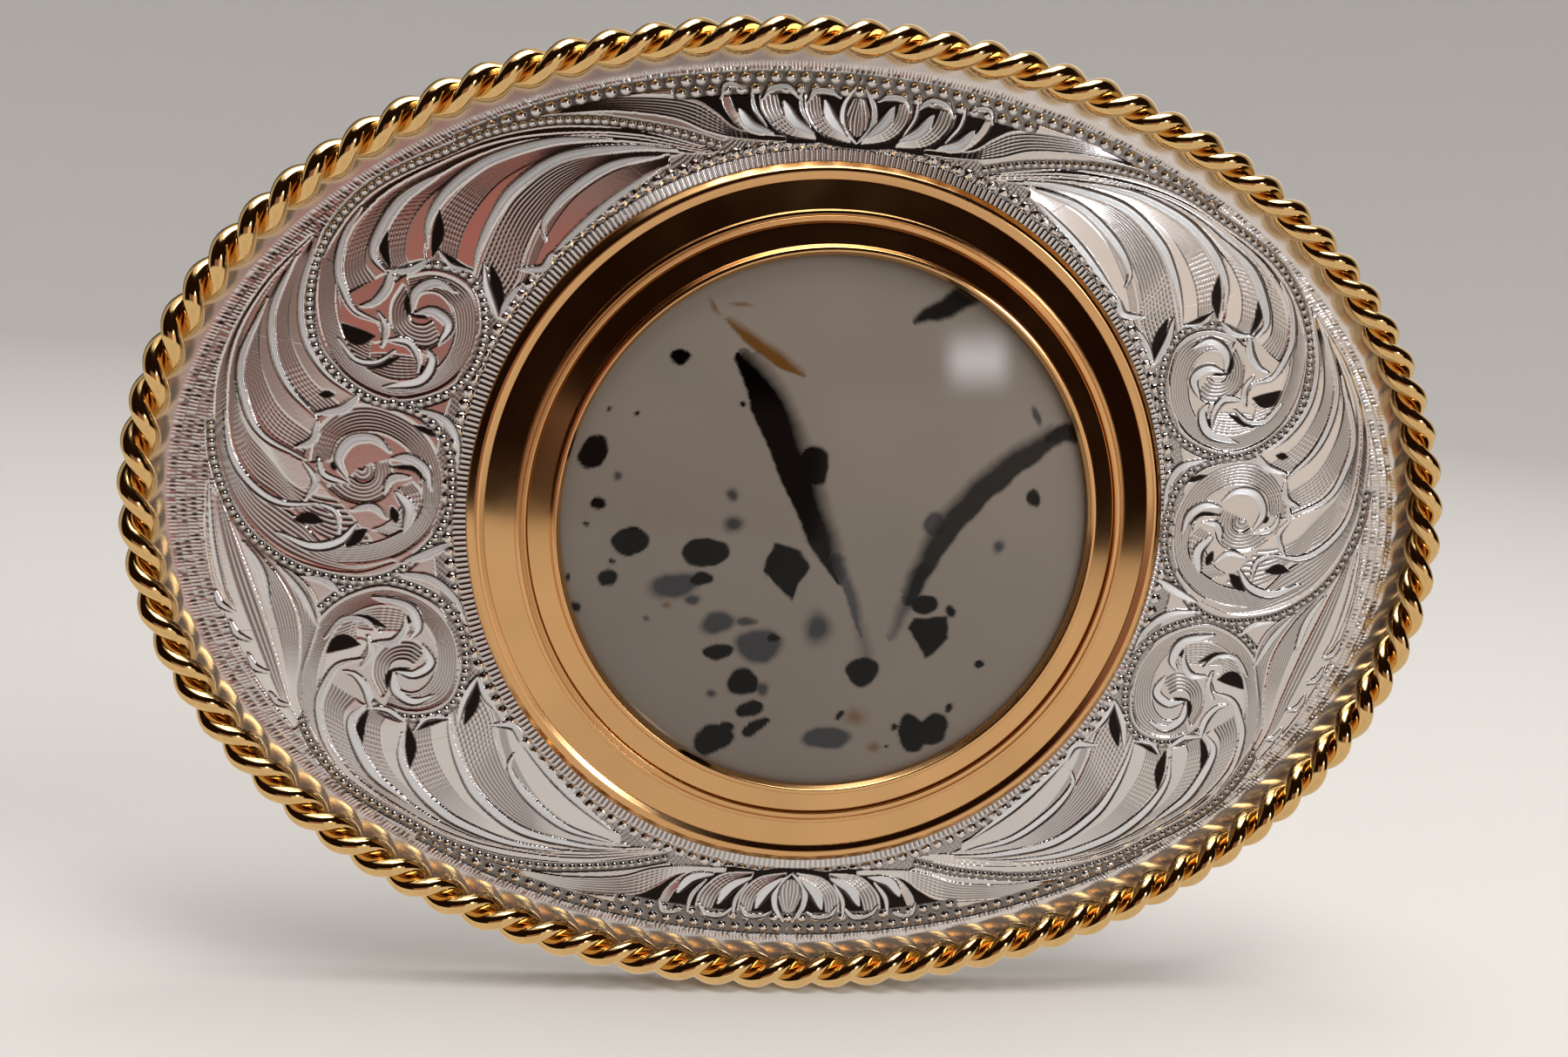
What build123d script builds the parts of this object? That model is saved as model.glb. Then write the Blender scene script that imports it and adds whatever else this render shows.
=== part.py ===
"""Oval trophy belt buckle: a bent, engraved plate with a rope edge, a round stone set in a
stepped bezel, and a strap hook and a hinged strap bail on its back.

Frame: +X along the length, +Z up as worn, and the face looks along -Y, away from the wearer.
The origin is the centre of the whole buckle's box. Millimetres.
"""

from build123d import *
import math
import os

# Plate and rope edge
length = 98.0
height = 70.4
bend_radius = 494.0
plate_thickness = 1.2
rope_diameter = 2.7
rope_overhang = 0.4
rope_round = 1.1

# Stone and what lies under it
stone_diameter = 40.0
girdle_height = 1.2
dome_rise = 2.6
backing_thickness = 0.3
backing_margin = 0.5
seat_thickness = 0.5
seat_margin = 0.05

# Bezel, from the stone outwards; heights are above the middle of the plate's face
stone_clearance = 0.05
lip_cover = 0.94
lip_clearance = 0.04
lip_height = 3.1
lip_top_width = 0.3
lip_bevel = 0.3
lip_width = 0.75
collet_wall = 1.3
collet_band_inner_height = 2.45
collet_band_outer_height = 1.9
solder_gap = 0.03
ridge_width = 0.8
ridge_height = 2.1
band_width = 2.1
band_inner_height = 1.8
band_outer_height = 0.95
rim_width = 1.25
rim_height = 1.15

# Bail: a wire loop that the strap's fixed end folds round, hinged in a tube
strap_width = 38.0
strap_play = 1.0
bail_wire = 2.6
bail_corner = 3.4
bail_reach = 16.5
hinge_offset = 18.0
hinge_clearance = 0.05
tube_wall = 0.85
tube_length = 26.0
tube_sink = 0.3
neck_width = 3.52
hinge_pad_width = 11.0
hinge_pad_margin = 2.0
hinge_pad_thickness = 0.8
hinge_pad_corner = 1.5

# Hook: a round post riveted in a base disc, its tip bent towards the bail
hook_offset = 31.0
hook_diameter = 3.6
hook_rise = 4.6
hook_bend_radius = 3.2
hook_bend_angle = 50.0
hook_tip_length = 1.6
hook_base_diameter = 11.0
hook_base_thickness = 1.0
hook_base_edge = 0.3
rivet_clearance = 0.02

# Worked out from the sizes above
stone_radius = stone_diameter / 2
opening_radius = stone_radius - lip_cover
collet_bore = stone_radius + stone_clearance
collet_radius = collet_bore + collet_wall
ridge_inner = collet_radius + solder_gap
ridge_outer = ridge_inner + ridge_width
rim_inner = ridge_outer + band_width
bezel_radius = rim_inner + rim_width
backing_y = -seat_thickness
stone_y = backing_y - backing_thickness
girdle_y = stone_y - girdle_height
apex_y = girdle_y - dome_rise
dome_radius = (stone_radius**2 + dome_rise**2) / (2 * dome_rise)
plate_back_radius = bend_radius - plate_thickness
tube_bore = bail_wire / 2 + hinge_clearance
tube_radius = tube_bore + tube_wall


def face_y(x, behind=0.0):
    """Depth of the bent plate's face at x, or of the surface that lies behind it by a distance."""
    radius = bend_radius - behind
    return bend_radius - math.sqrt(radius**2 - x**2)


def dome_y(radius):
    """Depth of the stone's dome at a radius."""
    return apex_y + dome_radius - math.sqrt(dome_radius**2 - radius**2)


hinge_pad_back = face_y(hinge_offset + hinge_pad_width / 2, plate_thickness) + hinge_pad_thickness
tube_y = hinge_pad_back + tube_radius - tube_sink
hook_base_back = face_y(hook_offset + hook_base_diameter / 2, plate_thickness) + hook_base_thickness
hook_bend_y = face_y(hook_offset, plate_thickness) + hook_rise
hook_turn = math.radians(hook_bend_angle)
hook_back = (hook_bend_y + hook_bend_radius * math.sin(hook_turn)
             + hook_tip_length * math.cos(hook_turn) + hook_diameter / 2)
middle_y = (apex_y + hook_back) / 2

# A box and a height larger than the buckle, for cutting with
reach_y = 4 * rope_diameter + bend_radius - math.sqrt(bend_radius**2 - length**2)
cutter_height = 2 * height
cutter_box = (2 * length, 2 * reach_y, cutter_height)


def bent_layer(front, back):
    """The space between two depths measured along the plate's bend, from its face."""
    axis = Pos(0, bend_radius, 0)
    outer = axis * Cylinder(bend_radius - front, cutter_height)
    inner = axis * Cylinder(bend_radius - back, cutter_height)
    return (outer - inner) & Box(*cutter_box)


def oval_prism(inset):
    """The oval outline, drawn in by an inset, carried through the whole depth."""
    outline = Plane.XZ * Ellipse(length / 2 - inset, height / 2 - inset)
    return extrude(outline, amount=reach_y, both=True)


def in_front_of(behind):
    """Everything in front of the bent surface that lies behind the face by a distance."""
    core = Pos(0, bend_radius, 0) * Cylinder(bend_radius - behind, cutter_height)
    return Box(*cutter_box) - core


def turned(points):
    """A ring or disc turned about the stone's axis from a half profile of (radius, depth)."""
    profile = Plane.XY * make_face(Polyline(*points, close=True))
    return revolve(profile, Axis.Y)


def make_face_plate():
    return bent_layer(0, plate_thickness) & oval_prism(rope_overhang)


def make_rope_edge():
    """The ring that the twisted wire fills: round-cornered, seated on the plate's face."""
    ring = bent_layer(-rope_diameter, 0) & (oval_prism(0) - oval_prism(rope_diameter))
    return fillet(ring.edges(), rope_round)


def make_bezel_ring():
    """Rounded rim, sloping band and ridge, filed underneath to the plate's bend."""
    below = face_y(bezel_radius) + plate_thickness
    half_round = rim_width / 2
    with BuildSketch() as profile:
        with BuildLine():
            Polyline((bezel_radius, -rim_height + half_round), (bezel_radius, below),
                     (ridge_inner, below), (ridge_inner, -ridge_height),
                     (ridge_outer, -ridge_height), (ridge_outer, -band_inner_height),
                     (rim_inner, -band_outer_height), (rim_inner, -rim_height + half_round))
            ThreePointArc((rim_inner, -rim_height + half_round),
                          (rim_inner + half_round, -rim_height),
                          (bezel_radius, -rim_height + half_round))
        make_face()
    return revolve(profile.sketch, Axis.Y) & in_front_of(0)


def make_bezel_collet():
    """Thin-lipped inner ring whose bevel is closed over the stone's edge."""
    below = face_y(collet_radius) + plate_thickness
    lip_top_radius = opening_radius + lip_bevel
    ring = turned([
        (collet_bore, below),
        (collet_bore, girdle_y - lip_clearance),
        (opening_radius, dome_y(opening_radius) - lip_clearance),
        (lip_top_radius, -lip_height),
        (lip_top_radius + lip_top_width, -lip_height),
        (opening_radius + lip_width, -collet_band_inner_height),
        (collet_radius, -collet_band_outer_height),
        (collet_radius, below),
    ])
    return ring & in_front_of(0)


def make_seat_disc():
    """Flat-faced floor of the setting, filed underneath to the plate's bend."""
    radius = stone_radius - seat_margin
    below = face_y(radius) + plate_thickness
    disc = turned([(0, backing_y), (radius, backing_y), (radius, below), (0, below)])
    return disc & in_front_of(0)


def make_stone_backing():
    radius = stone_radius - backing_margin
    return turned([(0, stone_y), (radius, stone_y), (radius, backing_y), (0, backing_y)])


def make_cabochon():
    """Flat-backed stone with an upright girdle and a low round dome."""
    body = turned([(0, apex_y), (stone_radius, apex_y), (stone_radius, stone_y), (0, stone_y)])
    return body & (Pos(0, apex_y + dome_radius, 0) * Sphere(dome_radius))


def make_hinge_bracket():
    """Pad soldered on the plate's back, with the bail's tube on it."""
    depth = hinge_pad_back + plate_thickness
    pad_length = tube_length + 2 * hinge_pad_margin
    pad = Pos(hinge_offset, hinge_pad_back - depth / 2, 0) * Box(hinge_pad_width, depth, pad_length)
    pad = fillet(pad.edges().filter_by(Axis.Y), hinge_pad_corner)
    pad = pad - in_front_of(plate_thickness)
    neck_middle = (tube_y + hinge_pad_back) / 2 - tube_sink
    neck = Pos(hinge_offset, neck_middle, 0) * Box(neck_width, tube_y - hinge_pad_back, tube_length)
    tube = Pos(hinge_offset, tube_y, 0) * Cylinder(tube_radius, tube_length)
    bore = Pos(hinge_offset, tube_y, 0) * Cylinder(tube_bore, 2 * tube_length)
    return pad + neck + tube - bore


def make_bail_loop():
    """Round wire bent to a rectangle, its hinge side running through the tube."""
    across = strap_width + strap_play + bail_wire
    centre = Plane((hinge_offset + bail_reach / 2, tube_y, 0), x_dir=(1, 0, 0), z_dir=(0, -1, 0))
    path = centre * Rectangle(bail_reach, across)
    path = fillet(path.vertices(), bail_corner).faces()[0].outer_wire()
    start = Plane((hinge_offset, tube_y, 0), z_dir=(0, 0, 1))
    return sweep(start * Circle(bail_wire / 2), path=path)


def make_hook_base():
    depth = hook_base_back + plate_thickness
    radius = hook_base_diameter / 2
    at = Plane((-hook_offset, hook_base_back - depth / 2, 0), z_dir=(0, 1, 0))
    disc = at * Cylinder(radius, depth)
    disc = chamfer(disc.edges().sort_by(Axis.Y)[-1], hook_base_edge)
    hole = at * Cylinder(hook_diameter / 2 + rivet_clearance, 2 * depth)
    return disc - hole - in_front_of(plate_thickness)


def make_hook_post():
    """Straight post from the plate's back, bent towards the bail, with a round tip."""
    foot = (-hook_offset, -plate_thickness)
    with BuildLine() as route:
        rise = Line(foot, (-hook_offset, hook_bend_y))
        bend = CenterArc((-hook_offset + hook_bend_radius, hook_bend_y), hook_bend_radius,
                         180, -hook_bend_angle)
        Line(bend @ 1, bend @ 1 + hook_tip_length * (bend % 1))
    path = route.wire()
    post = sweep(Plane(origin=path @ 0, z_dir=path % 0) * Circle(hook_diameter / 2), path=path)
    tip = Pos(*(path @ 1)) * Sphere(hook_diameter / 2)
    return (post + tip) - in_front_of(plate_thickness)


makers = {
    "face_plate": make_face_plate,
    "rope_edge": make_rope_edge,
    "bezel_ring": make_bezel_ring,
    "bezel_collet": make_bezel_collet,
    "seat_disc": make_seat_disc,
    "stone_backing": make_stone_backing,
    "cabochon": make_cabochon,
    "hinge_bracket": make_hinge_bracket,
    "bail_loop": make_bail_loop,
    "hook_base": make_hook_base,
    "hook_post": make_hook_post,
}

os.makedirs("parts", exist_ok=True)
for node, make in makers.items():
    export_step(Pos(0, -middle_y, 0) * make(), f"parts/{node}.step")
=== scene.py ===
"""Looks of the oval dress buckle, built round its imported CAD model.

Shapes are worked out in millimetres in the CAD model's own frame and put into metres
when a mesh is made. The face looks along -Y, +X is the length and +Z is up.
"""

import math

import bpy
import numpy as np
from mathutils import Matrix, Vector


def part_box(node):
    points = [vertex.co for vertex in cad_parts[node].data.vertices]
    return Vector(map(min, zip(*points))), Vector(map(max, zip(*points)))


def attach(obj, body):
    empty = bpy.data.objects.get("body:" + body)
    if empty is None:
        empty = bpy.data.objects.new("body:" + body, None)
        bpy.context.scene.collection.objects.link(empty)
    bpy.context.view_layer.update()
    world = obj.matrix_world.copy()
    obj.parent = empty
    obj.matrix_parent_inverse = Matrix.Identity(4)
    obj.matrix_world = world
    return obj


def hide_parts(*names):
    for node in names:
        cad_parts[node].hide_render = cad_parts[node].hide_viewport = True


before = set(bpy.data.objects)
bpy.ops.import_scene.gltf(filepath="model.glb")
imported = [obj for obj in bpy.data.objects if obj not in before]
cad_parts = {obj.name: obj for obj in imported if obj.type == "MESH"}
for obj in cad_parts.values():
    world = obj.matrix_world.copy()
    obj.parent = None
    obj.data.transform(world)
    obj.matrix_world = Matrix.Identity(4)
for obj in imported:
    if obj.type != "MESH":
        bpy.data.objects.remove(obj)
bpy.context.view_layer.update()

MM = 0.001


def node_box(node):
    """Lowest and highest corners of a CAD node, in millimetres."""
    low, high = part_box(node)
    return np.array(low) / MM, np.array(high) / MM


# ---------------------------------------------------------------- sizes, in millimetres
plate_low, plate_high = node_box("face_plate")
rope_low, rope_high = node_box("rope_edge")
stone_low, stone_high = node_box("cabochon")

BEND_RADIUS = 494.0
PLATE_THICKNESS = 1.2
FACE_Y = plate_low[1]                      # the face's most forward depth, at the middle
PLATE_HALF = (plate_high[0], plate_high[2])
ROPE_DIAMETER = 2.7
ROPE_HALF = (rope_high[0] - ROPE_DIAMETER / 2, rope_high[2] - ROPE_DIAMETER / 2)
ROPE_TURNS = 44
BEZEL_RADIUS = node_box("bezel_ring")[1][0]
COLLET_RADIUS = node_box("bezel_collet")[1][0]
STONE_RADIUS = stone_high[0]
SKIN_DEPTH = 0.34                          # how deep the engraved skin's tiles reach
SKIN_GAP = 0.01                            # between the skin's back and the plate under it
UNDER_BEZEL = 0.35                         # how far the skin runs on under the bezel
SHORT_OF_ROPE = 0.3                        # from the skin's outer edge to the rope's middle


def bend_y(x, behind=0.0):
    """Depth of the plate's bent face at x, or of the surface a distance behind it."""
    return FACE_Y + BEND_RADIUS - np.sqrt((BEND_RADIUS - behind) ** 2 - np.square(x))


# ---------------------------------------------------------------- meshes
def make_piece(name, points, faces, body="buckle", flat=()):
    """A mesh object from points in millimetres and groups of faces, riding on a body.

    Each group holds rows of corner numbers; the groups numbered in flat are shaded flat.
    """
    mesh = bpy.data.meshes.new(name)
    corners = np.concatenate([np.asarray(rows, dtype=np.int32).ravel() for rows in faces])
    sizes = np.concatenate([np.full(len(rows), rows.shape[1], dtype=np.int32) for rows in faces])
    smooth = np.concatenate([np.full(len(rows), group not in flat)
                             for group, rows in enumerate(faces)])
    mesh.vertices.add(len(points))
    mesh.vertices.foreach_set("co", (np.asarray(points, dtype=np.float64) * MM).ravel())
    mesh.loops.add(len(corners))
    mesh.loops.foreach_set("vertex_index", corners)
    mesh.polygons.add(len(sizes))
    starts = np.concatenate([[0], np.cumsum(sizes)[:-1]]).astype(np.int32)
    mesh.polygons.foreach_set("loop_start", starts)
    mesh.polygons.foreach_set("loop_total", sizes)
    mesh.polygons.foreach_set("use_smooth", smooth)
    mesh.update(calc_edges=True)
    mesh.validate()
    piece = bpy.data.objects.new(name, mesh)
    bpy.context.scene.collection.objects.link(piece)
    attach(piece, body)
    return piece


def grid_quads(rows, columns, wrap_rows=False, wrap_columns=False):
    """Corner numbers of the quads of a grid of points, closed up along either way if asked."""
    r = np.arange(rows if wrap_rows else rows - 1)
    c = np.arange(columns if wrap_columns else columns - 1)
    i, j = np.meshgrid(r, c, indexing="ij")
    i2, j2 = (i + 1) % rows, (j + 1) % columns
    quads = np.stack([i * columns + j, i * columns + j2, i2 * columns + j2, i2 * columns + j], -1)
    return quads.reshape(-1, 4)


def add_attribute(piece, name, values):
    """One number for each point of a piece, for its material to read."""
    layer = piece.data.attributes.new(name, "FLOAT", "POINT")
    layer.data.foreach_set("value", np.asarray(values, dtype=np.float32).ravel())


def lathe(name, profile):
    """A closed profile of (radius, depth) turned about the stone's axis.

    x is the radius times the sine of the turn and z the radius times its cosine. The
    profile's first and last points sit on the plate, so they take its bent depth.
    """
    turns = 320
    profile = np.asarray(profile, dtype=float)
    angle = np.linspace(0, 2 * math.pi, turns, endpoint=False)
    radius = profile[:, 0][None, :]
    x = radius * np.sin(angle)[:, None]
    z = radius * np.cos(angle)[:, None]
    y = np.repeat(profile[:, 1][None, :], turns, 0)
    y[:, [0, -1]] = bend_y(x[:, [0, -1]])
    points = np.stack([x, y, z], -1).reshape(-1, 3)
    return make_piece(name, points, [grid_quads(turns, len(profile), True, True)[:, ::-1]])


def rounded(corners, radii):
    """A closed outline whose corners are turned into arcs of their own radii.

    An arc's centre lies on the corner's halving line, a radius over the sine of the half
    angle away. Straight runs over a tenth of a millimetre get a point close to each end,
    so that they shade as flat.
    """
    steps, long_run, inset = 7, 0.1, 0.02
    corners = np.asarray(corners, dtype=float)
    before, after = np.roll(corners, 1, 0), np.roll(corners, -1, 0)
    out = []
    for point, last, following, radius in zip(corners, before, after, radii):
        if radius <= 0:
            out.append(point[None])
            continue
        to_last = (last - point) / np.linalg.norm(last - point)
        to_next = (following - point) / np.linalg.norm(following - point)
        half = math.acos(np.clip(to_last @ to_next, -1, 1)) / 2
        reach = radius / math.tan(half)
        halving = (to_last + to_next) / np.linalg.norm(to_last + to_next)
        centre = point + halving * radius / math.sin(half)
        start, end = point + to_last * reach - centre, point + to_next * reach - centre
        share = np.linspace(0, 1, steps)[:, None]
        turn = math.pi - 2 * half
        arc = np.sin((1 - share) * turn) * start + np.sin(share * turn) * end
        out.append(centre + arc / math.sin(turn))
    outline = np.concatenate(out)
    run = np.roll(outline, -1, 0) - outline
    reach = np.linalg.norm(run, axis=1)
    step = run / reach[:, None] * inset
    spaced = np.stack([outline, outline + step, outline + run - step], 1)
    far = reach > long_run
    return spaced[np.stack([np.ones(len(far), bool), far, far], 1)]


# ---------------------------------------------------------------- curves on the face
SAMPLE = 0.03                              # spacing of the samples pressed into the relief


def smooth_curve(points, count=None):
    """Evenly spaced points on a Catmull-Rom curve through the given ones, and their distances.

    Each stretch is a cubic of the two points before and the two after it.
    """
    p = np.asarray(points, dtype=float)
    p = np.concatenate([[2 * p[0] - p[1]], p, [2 * p[-1] - p[-2]]])
    t = np.linspace(0, 1, 24, endpoint=False)[None, :, None]
    a, b, c, d = (p[k:len(p) - 3 + k][:, None] for k in range(4))
    q = 2 * b + (c - a) * t + (2 * a - 5 * b + 4 * c - d) * t**2 + (3 * b - a - 3 * c + d) * t**3
    q = 0.5 * q
    q = np.concatenate([q.reshape(-1, 2), p[-2:-1]])
    along = np.concatenate([[0], np.cumsum(np.linalg.norm(np.diff(q, axis=0), axis=1))])
    if count is None:
        count = max(4, int(along[-1] / SAMPLE) + 1)
    s = np.linspace(0, along[-1], count)
    return np.stack([np.interp(s, along, q[:, 0]), np.interp(s, along, q[:, 1])], 1), s


def normals(curve):
    """Unit vectors square to a curve, to the left of its run."""
    run = np.gradient(curve, axis=0)
    run /= np.linalg.norm(run, axis=1)[:, None] + 1e-9
    return np.stack([-run[:, 1], run[:, 0]], 1)


# ---------------------------------------------------------------- the engraver's relief
CELL = 0.05                                # side of one cell of the relief
COVERED = 0.35                             # weight of samples at which a cell takes them
X_START, Z_START = -47.6, -34.4            # the relief's corner, past the skin's outer edge
LEAF_SINK, LEAF_RISE = -0.1, 0.1           # a leaf's low edge, and how far it climbs
GROOVE_DEPTH = 0.05
GROOVE_NEAR, GROOVE_FADE = 0.08, 0.1       # spacing where grooves are gone, and the run to full
CROSS_PITCH = 0.4                          # of a leaf's short cross cuts
CUT_DEPTH, CUT_SAMPLE = 0.09, 0.025
CUT_KEEL, CUT_FILL = 0.2, 0.86             # shares of a cut's width: steep side, and whole cut
GROUND_HEIGHT = -0.08                      # of the dark ground sunk round the leaves
BEAD_FLOOR, BEAD_RISE = -0.12, 0.17
COLUMNS, ROWS = int(-X_START / CELL) + 6, int(-2 * Z_START / CELL) + 1
relief = np.zeros((ROWS, COLUMNS))         # height above the plate's face, left half only
oxide_and_painted_light = np.zeros((ROWS, COLUMNS))        # -1 a bright cut's painted highlight, 0 plain, 1 dark oxide in sunk ground and painted shade on a cut's steep side


def press(x, z, height, dark):
    """Lays samples of height and of oxide and painted light over what the relief's cells held before.

    Each sample is shared between its four nearest cells by how close it is to each, and a
    cell takes the mean of its shares.
    """
    u, v = (x.ravel() - X_START) / CELL, (z.ravel() - Z_START) / CELL
    inside = (u > 1) & (u < COLUMNS - 2) & (v > 1) & (v < ROWS - 2)
    u, v = u[inside], v[inside]
    if not len(u):
        return
    height, dark = height.ravel()[inside], dark.ravel()[inside]
    i0, j0 = int(v.min()), int(u.min())
    rows, columns = int(v.max()) - i0 + 2, int(u.max()) - j0 + 2
    i, j = np.floor(v).astype(int), np.floor(u).astype(int)
    fi, fj = v - i, u - j
    weight, high, tone = (np.zeros(rows * columns) for _ in range(3))
    for di, dj, share in ((0, 0, (1 - fi) * (1 - fj)), (0, 1, (1 - fi) * fj),
                          (1, 0, fi * (1 - fj)), (1, 1, fi * fj)):
        cell = (i - i0 + di) * columns + j - j0 + dj
        weight += np.bincount(cell, share, rows * columns)
        high += np.bincount(cell, share * height, rows * columns)
        tone += np.bincount(cell, share * dark, rows * columns)
    weight, high, tone = (a.reshape(rows, columns) for a in (weight, high, tone))
    hit = weight > COVERED
    window = (slice(i0, i0 + rows), slice(j0, j0 + columns))
    relief[window][hit] = high[hit] / weight[hit]
    oxide_and_painted_light[window][hit] = tone[hit] / weight[hit]


def leaf(first, second, lines, band, hatch):
    """A leaf's lobe between two flow curves: it climbs from the first to the second.

    The height is the share of the way across to the power 1.4, times the rise. Grooves are
    a raised cosine across the band, so they follow both curves, and cross cuts are a cubed
    cosine along the stretch named by hatch. A hatch past 1 gives none. Grooves that would
    crowd under a fifth of a millimetre fade.
    """
    a, s = smooth_curve(first)
    b, _ = smooth_curve(second, count=len(a))
    width = np.linalg.norm(b - a, axis=1)
    v = np.linspace(0, 1, max(4, int(width.max() / SAMPLE)))[None, :]
    x = a[:, :1] + (b[:, :1] - a[:, :1]) * v
    z = a[:, 1:] + (b[:, 1:] - a[:, 1:]) * v
    share = (v - band[0]) / (band[1] - band[0])
    in_band = (share > 0) & (share < 1)
    spacing = (width * (band[1] - band[0]) / lines)[:, None]
    fade = np.clip((spacing - GROOVE_NEAR) / GROOVE_FADE, 0, 1)
    groove = (0.5 - 0.5 * np.cos(2 * math.pi * share * lines)) ** 1.5 * in_band * fade
    part = (s / s[-1])[:, None]
    window = np.clip((part - hatch[0]) / 0.06, 0, 1) * np.clip((hatch[1] - part) / 0.04, 0, 1)
    cross = (0.5 + 0.5 * np.cos(2 * math.pi * s / CROSS_PITCH))[:, None] ** 3 * window * in_band
    height = LEAF_SINK + LEAF_RISE * v**1.4 - GROOVE_DEPTH * groove * (1 - 0.6 * cross)
    dark = 0.8 * groove - 0.35 * cross
    press(x, z, height, dark)


def cut(points, width, full):
    """A bright cut: a gouge that tapers to both ends, a steep side and a broad side.

    A positive width puts the broad side to the left of the cut's run, and full is the share
    of the run where the cut is widest. The swell is the sine of a quarter turn, from each
    end to there, to the power 0.75. Across, the depth runs straight down to the keel and
    straight up again. The broad side carries a painted highlight, pale and less metallic and
    strongest halfway across, and the steep side is painted dark as shade.
    """
    c, s = smooth_curve(points)
    n = normals(c) * math.copysign(1, width)
    part = s / s[-1]
    swell = np.where(part < full, part / full, (1 - part) / (1 - full))
    swell = np.sin(np.clip(swell, 0, 1) * math.pi / 2) ** 0.75
    across = np.linspace(0, 1, max(6, int(abs(width) / CUT_SAMPLE)))[None, :]
    wide = CUT_FILL * abs(width) * swell[:, None]
    x = c[:, :1] + n[:, :1] * (across - 0.5) * wide
    z = c[:, 1:] + n[:, 1:] * (across - 0.5) * wide
    shape = np.where(across < CUT_KEEL, across / CUT_KEEL, (1 - across) / (1 - CUT_KEEL))
    depth_here = CUT_DEPTH * (0.35 + 0.65 * swell[:, None])
    # painted light: a painted highlight across the broad side, painted shade at 0.9 on the steep side
    painted_highlight = -np.sin(math.pi * np.clip((across - CUT_KEEL) / (1 - CUT_KEEL), 0, 1)) ** 0.6
    press(x, z, -depth_here * shape, np.where(across < CUT_KEEL, 0.9, painted_highlight) + 0.0 * x)


def ground(points, width):
    """Sunk, darkened ground under a stroke whose width follows half a sine along its run."""
    c, s = smooth_curve(points)
    n = normals(c)
    swell = np.sin(np.clip(s / s[-1], 0, 1) * math.pi)
    across = np.linspace(-0.5, 0.5, max(6, int(width / SAMPLE)))[None, :]
    x = c[:, :1] + n[:, :1] * across * width * swell[:, None]
    z = c[:, 1:] + n[:, 1:] * across * width * swell[:, None]
    press(x, z, np.full(x.shape, GROUND_HEIGHT), np.ones(x.shape))


def bead_row(points, radius=0.23, pitch=0.62, lane=0.6):
    """Pearls at an even pitch in a sunk dark lane along a curve, each a half sphere's height."""
    c, s = smooth_curve(points)
    n = normals(c)
    across = np.linspace(-lane / 2, lane / 2, int(lane / SAMPLE))[None, :]
    x = c[:, :1] + n[:, :1] * across
    z = c[:, 1:] + n[:, 1:] * across
    near = (s % pitch - pitch / 2)[:, None]
    dome = np.sqrt(np.clip(1 - (near**2 + across**2) / radius**2, 0, 1))
    press(x, z, BEAD_FLOOR + BEAD_RISE * dome, 0.7 * (dome <= 0) + 0.0 * x)


def flip(points):
    """The same points in the lower half of the face."""
    return [(x, -z) for x, z in points]


def oval_place(x, z):
    """Distance in from the rope's middle line, and distance along it, for points of the face.

    The first is the oval's own formula at the point, less one, over its slope there. The
    second reads the oval's added-up length at the point's turn.
    """
    a, b = ROPE_HALF
    q = np.hypot(x / a, z / b)
    inward = (1 - q) * q / np.maximum(np.hypot(x / a**2, z / b**2), 1e-6)
    turn = np.linspace(-math.pi, math.pi, 2001)
    pace = np.hypot(np.diff(a * np.cos(turn)), np.diff(b * np.sin(turn)))
    run = np.concatenate([[0], np.cumsum(pace)])
    return inward, np.interp(np.arctan2(z / b, x / a), turn, run)


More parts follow.
